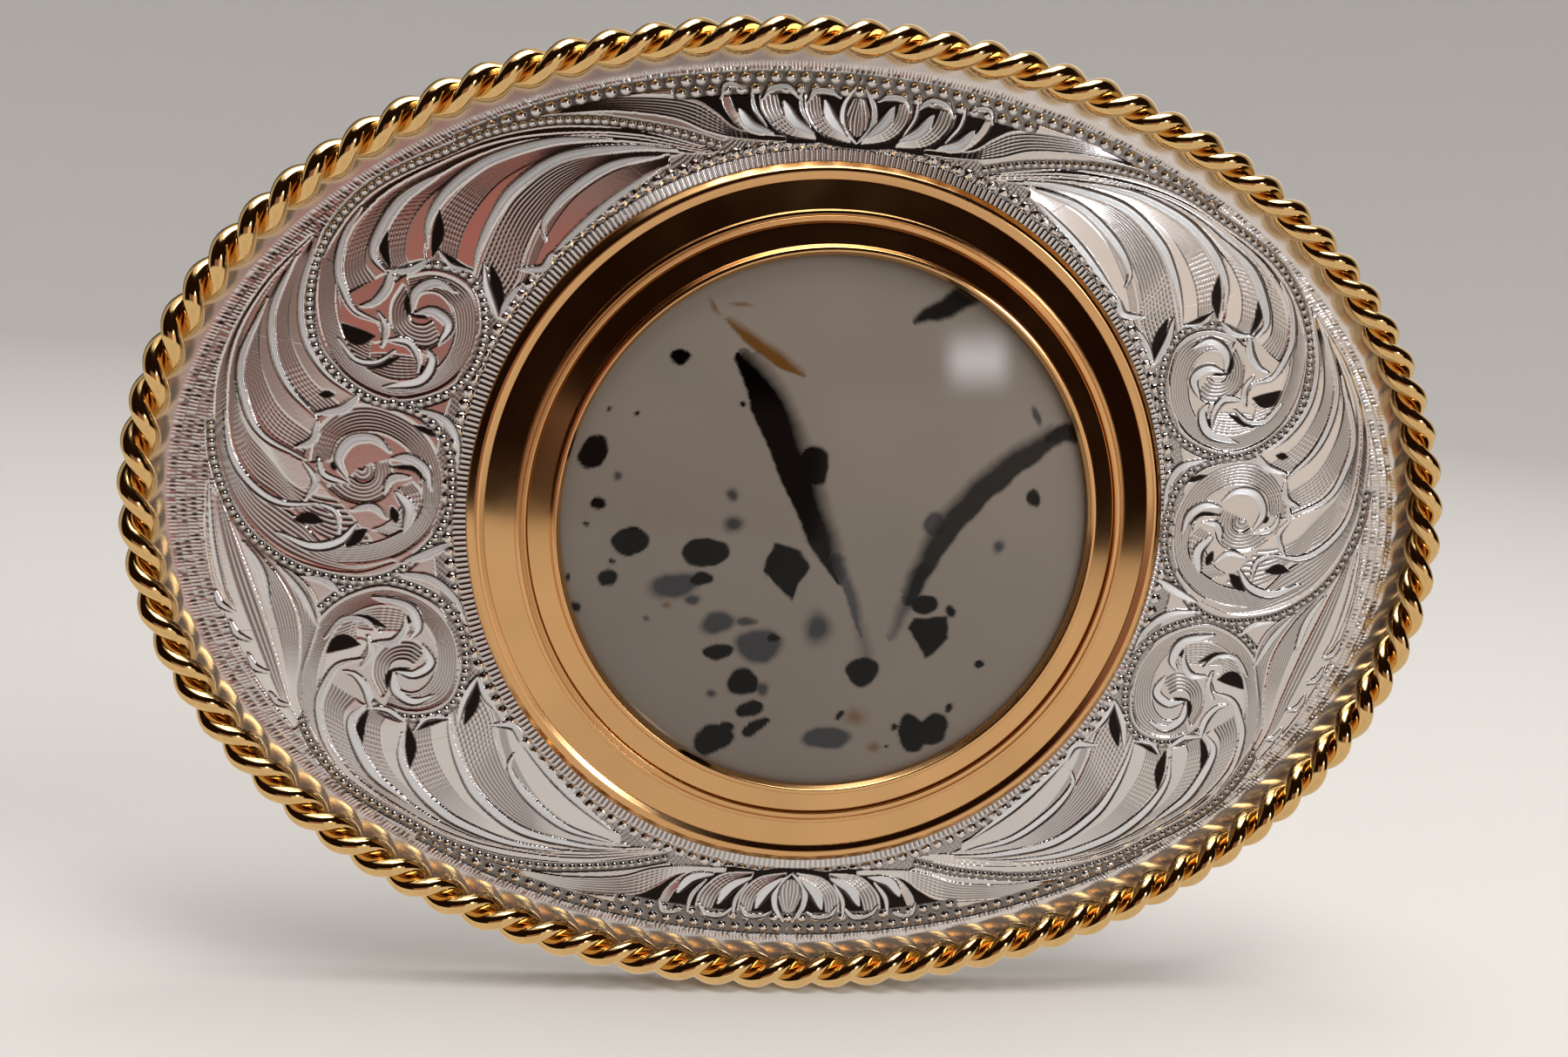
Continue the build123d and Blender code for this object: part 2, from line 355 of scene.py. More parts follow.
def engrave_ground():
    """The ground of the whole face: dashed bricks by the rope, pearls inside them, dark ground.

    Courses of bricks follow the distance in from the rope. Along each a cosine raises short
    dashes, a share of every brick is left out as its joint, and a second cosine, clipped,
    sinks small dark flecks. The band fades in from the rope and out to plain ground. Round
    the bezel a cosine of the bearing makes a fringe, and half spheres at an even bearing make
    pearls on ground stippled by crossed sines.
    """
    strip, course_pitch, brick_pitch, dash_pitch, fleck_pitch = 0.3, 0.7, 1.3, 0.27, 0.39
    band_narrow, band_grows, grows_from, grows_over = 1.75, 2.1, 27, 13
    fade_in, fade_out = 0.35, 0.25
    fringe_lines, fringe_width, ring_width = 420, 0.85, 2.3
    pearls, pearl_radius, pearl_place = 176, 0.36, 1.25
    z, x = np.meshgrid(Z_START + CELL * np.arange(ROWS), X_START + CELL * np.arange(COLUMNS),
                       indexing="ij")
    inward, run = oval_place(x, z)
    edge = inward - ROPE_DIAMETER / 2
    course = (edge - strip) / course_pitch
    row = np.floor(course)
    within = course - row
    wobble = 0.12 * np.sin(run * 1.7 + row * 2.1) + 0.07 * np.sin(run * 4.3 + row)
    brick = (run / brick_pitch + 0.5 * row + wobble) % 1
    dash = 0.5 + 0.5 * np.cos(2 * math.pi * (run + 0.3 * row) / dash_pitch)
    dash = dash * (within > 0.06) * (within < 0.94) * (brick > 0.12)
    dash = dash * (0.7 + 0.3 * np.sin(run * 0.9 + row * 1.9))
    share = np.clip((np.abs(x) - grows_from) / grows_over, 0, 1)
    band_end = band_narrow + band_grows * share * share * (3 - 2 * share)
    enter = np.clip((edge - strip) / fade_in, 0, 1)
    leave = np.clip((band_end - edge) / fade_out, 0, 1)
    patchy = np.sin(run * 2.9 + row * 1.3 + 1.5 * np.sin(run * 0.83 + row)) > -0.25
    fleck = np.clip(1.6 * np.cos(2 * math.pi * (run / fleck_pitch + 0.37 * row)) - 0.3, 0, 1)
    inside = np.clip((within - 0.45) / 0.1, 0, 1)
    fleck = fleck * patchy * inside * np.clip((1 - within) / 0.1, 0, 1)
    band = -0.05 + 0.045 * dash * leave - 0.035 * fleck
    relief[:] = np.where(edge < band_end, enter * band, -0.06)
    tone = 0.25 - 0.6 * dash * leave + 0.95 * fleck
    tone = -0.3 * (1 - enter) + enter * np.clip(tone, -0.45, 0.9)
    oxide_and_painted_light[:] = np.where(edge < band_end, tone, 0.1)
    radius = np.hypot(x, z)
    bearing = np.arctan2(x, z)
    near = radius < BEZEL_RADIUS + ring_width
    fringe = 0.5 + 0.5 * np.cos(bearing * fringe_lines)
    inner = radius < BEZEL_RADIUS + fringe_width
    pitch = 2 * math.pi / pearls
    offset = ((bearing + pitch / 2) % pitch - pitch / 2) * radius
    away = offset**2 + (radius - BEZEL_RADIUS - pearl_place) ** 2
    pearl = np.sqrt(np.clip(1 - away / pearl_radius**2, 0, 1))
    stipple = 0.5 + 0.5 * np.sin(x * 17.0) * np.sin(z * 15.0 + 3 * np.sin(x * 2.0))
    bare = pearl <= 0
    relief[near] = np.where(inner, -0.1 + 0.06 * fringe, -0.14 + 0.04 * stipple + 0.18 * pearl)[near]
    oxide_and_painted_light[near] = np.where(inner, 0.4 - 0.6 * fringe, 0.6 * bare - 0.3 * stipple * bare)[near]


# The flow curves and cuts of one quarter's scroll, from its root over the middle outwards.
SCROLL_FLOW = [
    [(-9.6, 25.4), (-15, 26.3), (-18.2, 26.3), (-21.7, 25.9), (-25.4, 24.8), (-28.1, 23.4), (-30.1, 22.4),
     (-32.3, 21), (-33.9, 19.5), (-35.1, 17.7), (-36.1, 15.6), (-36.3, 13.5)],
    [(-9.8, 25.4), (-16, 26), (-22, 25.4), (-26, 24.2), (-29.4, 22.4), (-31.8, 20.8), (-33.4, 19.1),
     (-34.3, 17.6), (-34.9, 15.5), (-34.5, 13.6)],
    [(-10, 25.3), (-17, 25.8), (-22.5, 25), (-26.3, 23.5), (-29.3, 21.5), (-31.1, 20.1), (-32.3, 18.1),
     (-32.6, 16.2), (-31.8, 15.3)],
    [(-10.5, 25.2), (-15, 25.5), (-20, 25.1), (-24.3, 23.8), (-26.6, 22.3), (-28.1, 20.7), (-29, 19.1),
     (-29.2, 17.4), (-29.1, 16.2)],
    [(-12, 25.1), (-16, 25), (-20.3, 24), (-23.2, 21.9), (-24.6, 19.8), (-25.5, 17.4), (-25.9, 15.6)],
    [(-13, 24.9), (-17, 23.9), (-19.9, 21.9), (-21.5, 19.6), (-22.4, 17.3), (-22.8, 15.4), (-24, 13.3)],
    [(-13, 24.2), (-15.2, 22.8), (-17, 21.3), (-19, 19.2), (-20.6, 17.4)],
]
SCROLL_LEAVES = [  # flow curves by number, lines, band, hatch
    (0, 1, 6, (0.1, 0.95), (2, 3)),
    (1, 2, 7, (0.12, 0.75), (0.72, 0.95)),
    (2, 3, 8, (0.12, 0.6), (0.74, 0.97)),
    (3, 4, 9, (0.12, 0.62), (0.72, 0.95)),
    (4, 5, 9, (0.12, 0.95), (0.7, 0.97)),
    (5, 6, 4, (0.1, 0.3), (2, 3)),
]
SCROLL_BEADS = [
    [(-9.3, 25.8), (-12.1, 26.4), (-15, 26.7), (-18.2, 26.8), (-21.7, 26.4), (-25.4, 25.3), (-28.3, 23.8),
     (-30.3, 22.8), (-32.6, 21.4), (-34.2, 19.9), (-35.6, 17.9), (-36.5, 15.6), (-36.8, 13.5),
      (-36.7, 11.5),
     (-36.1, 9.6), (-34.6, 7.9), (-33, 6.8), (-31, 6.2),
     (-29, 6.5), (-27, 7.4), (-25.6, 8.9), (-24.9, 11), (-24.9, 13), (-25.4, 14.6), (-26.6, 15.7),
      (-28.5, 16.1),
     (-30.3, 15.7), (-31.3, 15)],
]
SCROLL_BAND = (
    [(-36.1, 16), (-36.3, 13.5), (-35.9, 11), (-34.9, 9), (-33.3, 7.6), (-31, 6.8), (-29, 7.1), (-27.3, 8),
     (-26.1, 9.4), (-25.5, 11.1), (-25.5, 13), (-26, 14.4), (-27.1, 15.2), (-28.6, 15.5), (-30.3, 15.1)],
    [(-35, 15.5), (-35.1, 13), (-34.6, 11), (-33.5, 9.3), (-32.2, 8.3), (-30.7, 7.9), (-29, 8.3),
     (-27.9, 9.1), (-27.2, 10.2), (-26.9, 11.4), (-27, 12.6), (-27.4, 13.5), (-28.1, 14.1),
     (-28.9, 14.2), (-29.8, 13.8)],
)
SCROLL_HEART = (
    [(-30.6, 14.6), (-31.3, 13.2), (-31.2, 11.7), (-30.2, 10.6), (-28.8, 10.3), (-27.8, 10.8)],
    [(-29.9, 13.4), (-30.1, 12.8), (-30, 12.2), (-29.6, 11.9), (-29, 11.9), (-28.5, 12.2)],
)
SCROLL_CUTS = [  # points, width, share of the run where it is widest
    ([(-33.6, 19.6), (-34.6, 17.7), (-35, 15.4), (-34.5, 13.7), (-33.7, 12.5), (-32.1, 11.9)], 0.6, 0.5),
    ([(-32.2, 12.6), (-31.6, 11.5), (-31.8, 10.2)], 0.45, 0.5),
    ([(-28.3, 22.4), (-30.9, 20.4), (-32.3, 18.1), (-32.7, 16.4), (-31.7, 15.2)], 0.85, 0.55),
    ([(-31.4, 15.6), (-31.7, 14.2), (-32.5, 13.2), (-33.4, 12.9)], 0.7, 0.35),
    ([(-17, 25.6), (-21, 25.1), (-24.6, 23.8), (-26.7, 22.4), (-28.2, 20.8), (-29.1, 19),
     (-29.1, 17.2)], 0.8, 0.65),
    ([(-28.9, 16.4), (-30.2, 15.6), (-31.7, 15.5)], 0.5, 0.3),
    ([(-12.5, 25.3), (-16, 25.1), (-20.3, 24.1), (-23.3, 21.9), (-24.7, 19.8), (-25.6, 17.4),
     (-25.9, 15.6)], 0.8, 0.6),
    ([(-28.3, 17.1), (-27.4, 16.1), (-25.9, 15.9)], -0.35, 0.5),
    ([(-13.5, 24.8), (-17, 23.8), (-19.8, 21.7), (-21.3, 19.6), (-21.1, 18.3)], 0.7, 0.6),
    ([(-13.5, 24), (-17, 21.2), (-20.6, 17.5)], 0.7, 0.6),
    ([(-20.6, 17.6), (-21.2, 16.4), (-22.9, 16.3)], 0.6, 0.35),
    ([(-25.2, 16.5), (-24.9, 14.8), (-24.2, 13.2), (-23.9, 12.7)], -0.6, 0.55),
    ([(-22.5, 15.3), (-23.4, 14.1), (-24, 12.8)], 0.55, 0.5),
    ([(-34.8, 10.6), (-33.6, 9.2), (-32.1, 9.1), (-30.9, 10)], 0.4, 0.5),
    ([(-31.4, 10.7), (-30, 10.6), (-29.3, 9.6), (-29.3, 8.7)], 0.6, 0.4),
    ([(-28.8, 10.3), (-28.3, 9.4), (-29.1, 8), (-31.6, 7.4)], -0.85, 0.35),
    ([(-29.9, 12.7), (-29.7, 14.1), (-28.4, 14.9), (-26.9, 14.3)], -0.75, 0.4),
    ([(-29.7, 12.7), (-28.4, 12.9), (-27.3, 12), (-28, 10.6)], -0.8, 0.5),
]
SCROLL_GROUND = [
    ([(-34.6, 11.6), (-33.6, 10.8), (-32.3, 10.9)], 1.1),
    ([(-33.3, 8.9), (-31.9, 9.0), (-30.5, 9.6)], 0.45),
    ([(-29.1, 9.2), (-28.8, 8.4)], 0.5),
    ([(-28.4, 19.8), (-28.4, 18.2), (-28.7, 16.6)], 0.75),
    ([(-28.2, 17), (-26.9, 16.1), (-25.8, 15.9)], 0.55),
    ([(-31.9, 18.6), (-32, 17), (-31.5, 15.6)], 0.6),
    ([(-24.7, 16.4), (-24.2, 14.7), (-23.9, 13)], 0.8),
    ([(-30.3, 14), (-30.1, 12.9), (-28.8, 12.4)], 0.45),
]

# The middle scroll at the face's end, and the sprig that hangs from it.
END_FLOW = [
    [(-36.9, 17.4), (-39.6, 14.4), (-41.6, 11), (-42.7, 7.5), (-42.8, 4), (-42.2, 1), (-41, -1.6),
     (-39, -3.9), (-36.5, -5.2), (-33, -5.7), (-30.2, -4.8)],
    [(-37, 17), (-39.8, 13.5), (-41.6, 9.7), (-42, 5.7), (-41.4, 2), (-39.9, -0.2), (-38.2, -1.3),
     (-36.6, -2.4), (-35.2, -3.8), (-33, -4.6), (-31, -4.4)],
    [(-36.9, 17.1), (-39.2, 14.1), (-40.9, 10.9), (-41.3, 7.8), (-40.6, 5.2), (-39.2, 3.2), (-36.9, 2)],
    [(-36.8, 17.2), (-38.3, 14.7), (-39.3, 12), (-39.1, 9.5), (-38, 7), (-36, 5)],
    [(-36.6, 17.3), (-37.3, 14), (-37.2, 10.9), (-35.7, 8.3), (-33.5, 6.7)],
]
END_LEAVES = [
    (0, 1, 7, (0.08, 0.95), (2, 3)),
    (1, 2, 8, (0.1, 0.6), (0.5, 0.66)),
    (2, 3, 7, (0.12, 0.62), (0.72, 0.96)),
    (3, 4, 6, (0.1, 0.6), (0.68, 0.94)),
]
END_BAND = (
    [(-36.3, 1.9), (-35.9, 4), (-34.4, 5.6), (-32.6, 6.1), (-30.4, 5.6), (-28.8, 4.6), (-27.7, 3),
     (-27.2, 1.2), (-27.3, -0.6), (-27.8, -2.2), (-28.9, -3.5), (-30.2, -4.4), (-32, -5), (-34, -5.2)],
    [(-34.9, 2.1), (-34.4, 3.5), (-33.2, 4.2), (-31.5, 4.2), (-30, 3.5), (-29.1, 2.4), (-28.7, 1.2),
     (-28.6, 0), (-28.8, -1.2), (-29.5, -2.2), (-30.3, -2.9), (-31.5, -3.5), (-33, -3.8), (-34.6, -3.9)],
)
END_HEART = (
    [(-35, 0.2), (-33.8, -0.6), (-32.3, -0.8), (-31, -0.1), (-30.6, 1.2), (-30.9, 2.3)],
    [(-33.4, 1.0), (-32.9, 0.7), (-32.4, 0.7), (-32.0, 1.0), (-31.9, 1.5), (-32.0, 2.0)],
)
END_BEADS = [
    [(-43.1, 4.3), (-42.9, 2), (-42.3, 0), (-41.5, -1.8), (-40.2, -3.5), (-38.5, -4.8), (-36.5, -5.8),
     (-34, -6.3), (-32, -6.3), (-30.2, -5.7), (-28.8, -4.5), (-27.5, -3), (-26.8, -1.5), (-26.5, 0),
     (-26.6, 2),
      (-27.2, 4),
     (-28.7, 5.6), (-31, 6.4)],
]
END_CUTS = [
    ([(-36.1, 18), (-37.3, 14), (-37.1, 10.7), (-35.6, 8.2), (-33.3, 6.6)], 0.55, 0.6),
    ([(-33.2, 6.7), (-34.3, 5.7), (-36, 5.3)], 0.7, 0.3),
    ([(-37.8, 16), (-39.2, 12.3), (-39.1, 9.5), (-38, 7), (-36, 5)], 0.6, 0.6),
    ([(-35.9, 4.8), (-36.2, 3.4), (-37.4, 2.8)], 0.55, 0.35),
    ([(-39.6, 13), (-41.2, 8.6), (-40.8, 5.5), (-39.5, 3.4), (-36.6, 2)], 0.6, 0.55),
    ([(-36.8, 1.9), (-35.9, 0.5), (-36.6, -0.9)], 0.5, 0.5),
    ([(-42.2, 5), (-41.6, 1.9), (-40, -0.2), (-38, -1.2), (-35.6, -1)], 0.6, 0.55),
    ([(-35.6, -1), (-34.4, -1.6), (-34.1, -2.9)], 0.45, 0.4),
    ([(-38.4, -3.2), (-36, -4.1), (-34, -3.6), (-32.9, -2.2)], 0.75, 0.6),
    ([(-33.6, 0.7), (-34.4, 2.2), (-33.6, 3.6), (-32, 3.8), (-30.8, 2.9)], -0.85, 0.5),
    ([(-35.8, 2.2), (-35.3, 1), (-33.6, 0.5)], 0.5, 0.5),
    ([(-30.8, 2.5), (-29.5, 2.6), (-28.3, 1.8), (-27.9, 0.4)], -0.7, 0.4),
    ([(-31.2, 0), (-30.7, 1.1), (-29.4, 1.3)], -0.5, 0.5),
    ([(-30.4, 0.2), (-29.4, -1), (-29.7, -2.6)], 0.95, 0.5),
    ([(-33.4, -1.3), (-31.9, -1), (-30.8, -1.8)], -0.5, 0.5),
    ([(-29.3, 6.1), (-27.2, 5.4), (-26.3, 3.9), (-26.2, 1.9)], -0.6, 0.45),
    ([(-29.8, -4.9), (-28, -4.1), (-26.3, -3.2)], -0.8, 0.6),
    ([(-30.2, -5.6), (-27.6, -5.9), (-25.8, -7.3), (-25, -9)], -0.6, 0.5),
]
END_GROUND = [
    ([(-37.2, -2.2), (-36.2, -2.1), (-35.2, -2.3)], 0.8),
    ([(-33.6, -3.9), (-32.7, -3), (-32.2, -2.6)], 0.8),
    ([(-30.6, -0.9), (-30.2, -2)], 0.6),
    ([(-35.9, 6.6), (-34.9, 6.7)], 0.5),
    ([(-34.9, 1.9), (-34.3, 1.6)], 0.6),
    ([(-30.9, 1.9), (-29.3, 1.9), (-28.4, 1.1)], 0.3),
    ([(-29.4, 4.9), (-27.6, 4.3)], 0.4),
]
SPRIG_FLOW = [
    [(-43.2, 0), (-43.2, -3.5), (-42.4, -7.5), (-40.9, -11), (-39, -14.3), (-36.6, -17.3)],
    [(-42, -1.6), (-40.6, -5), (-39.2, -8.5), (-38, -12), (-37.2, -14.8), (-36.3, -16.6)],
    [(-40.4, -3.8), (-38.2, -6.2), (-36.7, -9), (-36.4, -12), (-36.6, -14.5), (-36.2, -16)],
    [(-38, -5.4), (-36, -7), (-35.2, -9), (-35.6, -11), (-36.2, -13)],
]
SPRIG_LEAVES = [
    (0, 1, 3, (0.55, 0.95), (2, 3)),
    (1, 2, 7, (0.3, 0.95), (2, 3)),
    (2, 3, 6, (0.1, 0.9), (2, 3)),
]
SPRIG_CUTS = [
    ([(-43.1, 0.6), (-42.7, -4), (-41.9, -7.3), (-41.1, -8.8)], -0.45, 0.6),
    ([(-40.6, -4), (-39.3, -6), (-38.6, -8.5)], -0.6, 0.6),
    ([(-38.2, -5.5), (-36.5, -7.5), (-35.3, -9.7)], -0.55, 0.6),
    ([(-36.5, -6.2), (-34.8, -6.5), (-33.7, -7.4)], -0.5, 0.6),
    ([(-42.4, -7.6), (-42, -8.6), (-41, -9.1)], 0.5, 0.5),
    ([(-41.3, -9.7), (-40.8, -10.7), (-39.8, -11.1)], 0.5, 0.5),
    ([(-40, -12), (-39.5, -13), (-38.5, -13.3)], 0.5, 0.5),
    ([(-38.4, -14.7), (-37.8, -15.5), (-36.9, -15.6)], 0.45, 0.5),
]

# The palmette over the middle, with the long leaf that runs out from it.
PALM_TAIL = (
    [(-21.5, 27), (-18, 28.3), (-14, 28.8), (-11.5, 28.7), (-10, 28), (-8.3, 27), (-5, 26.8)],
    [(-21, 26.9), (-17, 27.5), (-13, 27.4), (-10.5, 26.7), (-8, 26.4), (-5, 26.5)],
)
PALM_FRONDS = [  # outer and inner edge of each frond's shaded part
    ([(-3.9, 29.9), (-3.6, 28.4), (-2.4, 27.2), (-0.4, 26.8)],
     [(-2.9, 29.8), (-2.6, 28.6), (-1.8, 27.7), (-0.5, 27.1)]),
    ([(-7.1, 29.7), (-6.7, 28.3), (-5.2, 27), (-2.9, 26.8)],
     [(-5.9, 29.7), (-5.4, 28.4), (-4.4, 27.5), (-3, 27.1)]),
    ([(-9.9, 29.6), (-9.3, 28.2), (-7.9, 27), (-5.8, 26.8)],
     [(-9.3, 29.4), (-8.6, 28.2), (-7.4, 27.3), (-6, 27)]),
]
PALM_CUTS = [
    ([(0, 26.8), (-0.95, 27.9), (-1.05, 29.3), (-0.3, 30.7)], 0.5, 0.5),
    ([(-2.5, 29.6), (-1.9, 28.4), (-0.7, 27.2)], -0.95, 0.4),
    ([(-5.4, 29.3), (-4.5, 28), (-3, 27.2)], -0.95, 0.4),
    ([(-8.5, 28.5), (-7.5, 27.4), (-5.9, 27)], -0.9, 0.4),
    ([(-3.7, 29.3), (-3.2, 30.1), (-2.1, 30.2), (-1.3, 29.8)], -0.4, 0.5),
    ([(-6.9, 29.2), (-6.3, 30), (-5.1, 30.2), (-4.1, 29.4)], -0.45, 0.5),
    ([(-9.8, 29), (-9.5, 29.9), (-8.7, 30), (-8, 29.7)], -0.4, 0.5),
    ([(-4.2, 30.3), (-4.1, 28.9), (-3.3, 27.6)], 0.3, 0.5),
    ([(-7.7, 30), (-7.4, 28.6), (-6.4, 27.4)], 0.35, 0.5),
]


def engrave_scroll(turned):
    """One quarter's scroll: leaves, band, heart, beads and cuts, as given or turned over."""
    for first, second, lines, band, hatch in SCROLL_LEAVES:
        leaf(turned(SCROLL_FLOW[first]), turned(SCROLL_FLOW[second]), lines, band, hatch)
    leaf(turned([(-34.9, 14), (-33.6, 12.6), (-32.4, 12), (-31.9, 11)]),
         turned([(-34, 8.9), (-32.6, 8.5), (-31.2, 8.3), (-30.2, 8.5)]), 9, (0.45, 0.98), (0.3, 0.95))
    leaf(turned([(-32.6, 10.3), (-31.4, 10.6), (-29.8, 10.4), (-29, 9.8)]),
         turned([(-32.4, 8.4), (-31, 8), (-29.6, 8.1), (-28.4, 8.6)]), 8, (0.3, 0.98), (0.35, 0.95))
    leaf(turned(SCROLL_BAND[0]), turned(SCROLL_BAND[1]), 7, (0.04, 0.96), (0.86, 0.94))
    leaf(turned(SCROLL_HEART[0]), turned(SCROLL_HEART[1]), 5, (0.05, 0.95), (2, 3))
    for points, width in SCROLL_GROUND:
        ground(turned(points), width)
    for points in SCROLL_BEADS:
        bead_row(turned(points))
    side = 1 if turned is not flip else -1
    for points, width, full in SCROLL_CUTS:
        cut(turned(points), width * side, full=full)


def engrave_end():
    """The middle scroll of one end and its hanging sprig."""
    for flow, leaves in ((SPRIG_FLOW, SPRIG_LEAVES), (END_FLOW, END_LEAVES)):
        for first, second, lines, band, hatch in leaves:
            leaf(flow[first], flow[second], lines, band, hatch)
    leaf(*END_BAND, 7, (0.04, 0.96), (0.02, 0.12))
    leaf(*END_HEART, 5, (0.05, 0.95), (2, 3))
    leaf(END_HEART[1], [(-32.9, 1.6), (-32.8, 1.5), (-32.7, 1.5), (-32.6, 1.6), (-32.6, 1.7)],
         2, (0.1, 0.9), (2, 3))
    leaf([(-29.2, 0.9), (-28.6, 0.2), (-28.6, -1), (-29.4, -2.2), (-30.6, -3)],
         [(-30.2, 0.4), (-29.8, -0.4), (-30.2, -1.4), (-31, -2.2), (-31.8, -2.6)], 5, (0.05, 0.95),
          (0.1, 0.9))
    for points, width in END_GROUND:
        ground(points, width)
    for points in END_BEADS:
        bead_row(points)
    for points, width, full in SPRIG_CUTS + END_CUTS:
        cut(points, width, full=full)


def engrave_palmette(turned):
    """Half of the palmette over the middle, on sunk dark ground."""
    ground(turned([(-13.5, 28.3), (-8, 28.4), (-3, 28.5), (3.5, 28.6)]), 4.1)
    ground(turned([(-8, 28.4), (0, 28.5), (8, 28.6)]), 4.1)
    leaf(turned(PALM_TAIL[0]), turned(PALM_TAIL[1]), 6, (0.05, 0.95), (0.55, 0.85))
    for outer, inner in PALM_FRONDS:
        leaf(turned(outer), turned(inner), 4, (0.05, 0.98), (0.35, 0.75))
    leaf(turned([(-0.75, 27.6), (-0.85, 28.5), (-0.4, 29.8)]),
         turned([(0.3, 27.2), (0.3, 28.5), (0.3, 30)]), 4, (0, 1), (2, 3))
    for base, start in ((2.7, -0.66), (3.5, -0.3)):
        a, b = ROPE_HALF[0] - base, ROPE_HALF[1] - base
        arc = [(a * math.sin(t), b * math.cos(t)) for t in np.linspace(start, 0.02, 12)]
        bead_row(turned(arc), 0.33, 1.05, 0.76)
    side = 1 if turned is not flip else -1
    for points, width, full in PALM_CUTS:
        cut(turned(points), width * side, full=full)


def as_given(points):
    """The points unchanged, in the upper half of the face."""
    return points


def engrave_face():
    """Every cut of the left half, in the order the engraver lays them."""
    engrave_ground()
    for turned in (as_given, flip):
        engrave_palmette(turned)
        engrave_scroll(turned)
    engrave_end()


def relief_at(x, z):
    """Height, and oxide and painted light, at points of the face, the right half mirroring the left."""
    u = np.clip((-np.abs(x) - X_START) / CELL, 0, COLUMNS - 2)
    v = np.clip((z - Z_START) / CELL, 0, ROWS - 2)
    i, j = np.floor(v).astype(int), np.floor(u).astype(int)
    fi, fj = v - i, u - j
    out = []
    for field in (relief, oxide_and_painted_light):
        out.append((field[i, j] * (1 - fj) + field[i, j + 1] * fj) * (1 - fi)
                   + (field[i + 1, j] * (1 - fj) + field[i + 1, j + 1] * fj) * fi)
    return out


def make_face_tile(name, start, end, step):
    """A closed tile of the engraved skin between two bearings, in degrees from the top.

    Rows run from the bezel's circle to the rope's oval and columns follow the bearing.
    x is the sine of the bearing and z its cosine, times a length that grows evenly from the
    circle to the oval, and the depth is the bent face less the relief there. A last flat
    column at each side dips a little as it passes under the next tile, and walls drop from
    the rim to a bent back that is one face.
    """
    lap, dip, back_tone = 0.001, 0.005, 0.3
    near = BEZEL_RADIUS - UNDER_BEZEL
    far_x, far_z = ROPE_HALF[0] - SHORT_OF_ROPE, ROPE_HALF[1] - SHORT_OF_ROPE
    dense = np.radians(np.linspace(start, end, 721))
    pace = np.hypot(far_x * np.diff(np.sin(dense)), far_z * np.diff(np.cos(dense)))
    run = np.concatenate([[0], np.cumsum(pace)])
    bearing = np.interp(np.linspace(0, run[-1], int(run[-1] / step)), run, dense)
    bearing = np.concatenate([bearing[:1] - lap, bearing, bearing[-1:] + lap])
    span = np.hypot((far_x - near) * np.sin(dense), (far_z - near) * np.cos(dense)).max()
    rows, columns = int(span / step) + 1, len(bearing)
    share = np.linspace(0, 1, rows)[:, None]
    x = (near + (far_x - near) * share) * np.sin(bearing)
    z = (near + (far_z - near) * share) * np.cos(bearing)
    height, dark = relief_at(x, z)
    height[:, [0, -1]] -= dip
    front = np.stack([x, bend_y(x) - height, z], -1).reshape(-1, 3)
    index = np.arange(rows * columns).reshape(rows, columns)
    rim = np.concatenate([index[0, :-1], index[:-1, -1], index[-1, :0:-1], index[:0:-1, 0]])
    back = front[rim].copy()
    back[:, 1] = bend_y(back[:, 0]) + SKIN_DEPTH
    low = len(front) + np.arange(len(rim))
    walls = np.stack([rim, np.roll(rim, -1), np.roll(low, -1), low], 1)[:, ::-1]
    quads = grid_quads(rows, columns).reshape(rows - 1, columns - 1, 4)
    dips = quads[:, [0, -1]].reshape(-1, 4)
    groups = [quads[:, 1:-1].reshape(-1, 4), dips, walls, low[None, ::-1]]
    piece = make_piece(name, np.concatenate([front, back]), groups, flat=(1, 2, 3))
    add_attribute(piece, "oxide_and_painted_light", np.concatenate([dark.ravel(), np.full(len(rim), back_tone)]))
    return piece


# ---------------------------------------------------------------- the rest of the buckle
def make_plate_body():
    """The plain bent plate under the engraved skin: an oval with a rounded rim.

    A point is the oval's point at its turn, times its share of the way out, drawn in by half
    the thickness less that times the sine of the rim's angle. Its depth is the bent face
    plus half the thickness times one less the cosine. A small cap closes each middle.
    """
    around, across, rim, middle = 360, 24, 9, 0.02
    rim_angle = np.linspace(0, math.pi, rim)
    reach = (PLATE_THICKNESS - SKIN_DEPTH - SKIN_GAP) / 2
    profile = np.concatenate([np.stack([np.linspace(middle, 1, across), np.zeros(across)], 1),
                              np.stack([np.ones(rim), rim_angle], 1)[1:-1],
                              np.stack([np.linspace(1, middle, across), np.full(across, math.pi)], 1)])
    turn = np.linspace(0, 2 * math.pi, around, endpoint=False)[:, None]
    bulge = reach * (np.sin(profile[:, 1]) - 1)[None]
    scale = profile[:, 0][None]
    x = (PLATE_HALF[0] * scale + bulge * scale) * np.sin(turn)
    z = (PLATE_HALF[1] * scale + bulge * scale) * np.cos(turn)
    behind = SKIN_DEPTH + SKIN_GAP + reach * (1 - np.cos(profile[:, 1]))[None] + 0 * x
    points = np.stack([x, bend_y(x, behind), z], -1).reshape(-1, 3)
    columns = len(profile)
    first = np.arange(around)[None] * columns
    faces = [grid_quads(around, columns, True, False)[:, ::-1], first[:, ::-1], first + columns - 1]
    return make_piece("plate_body", points, faces)


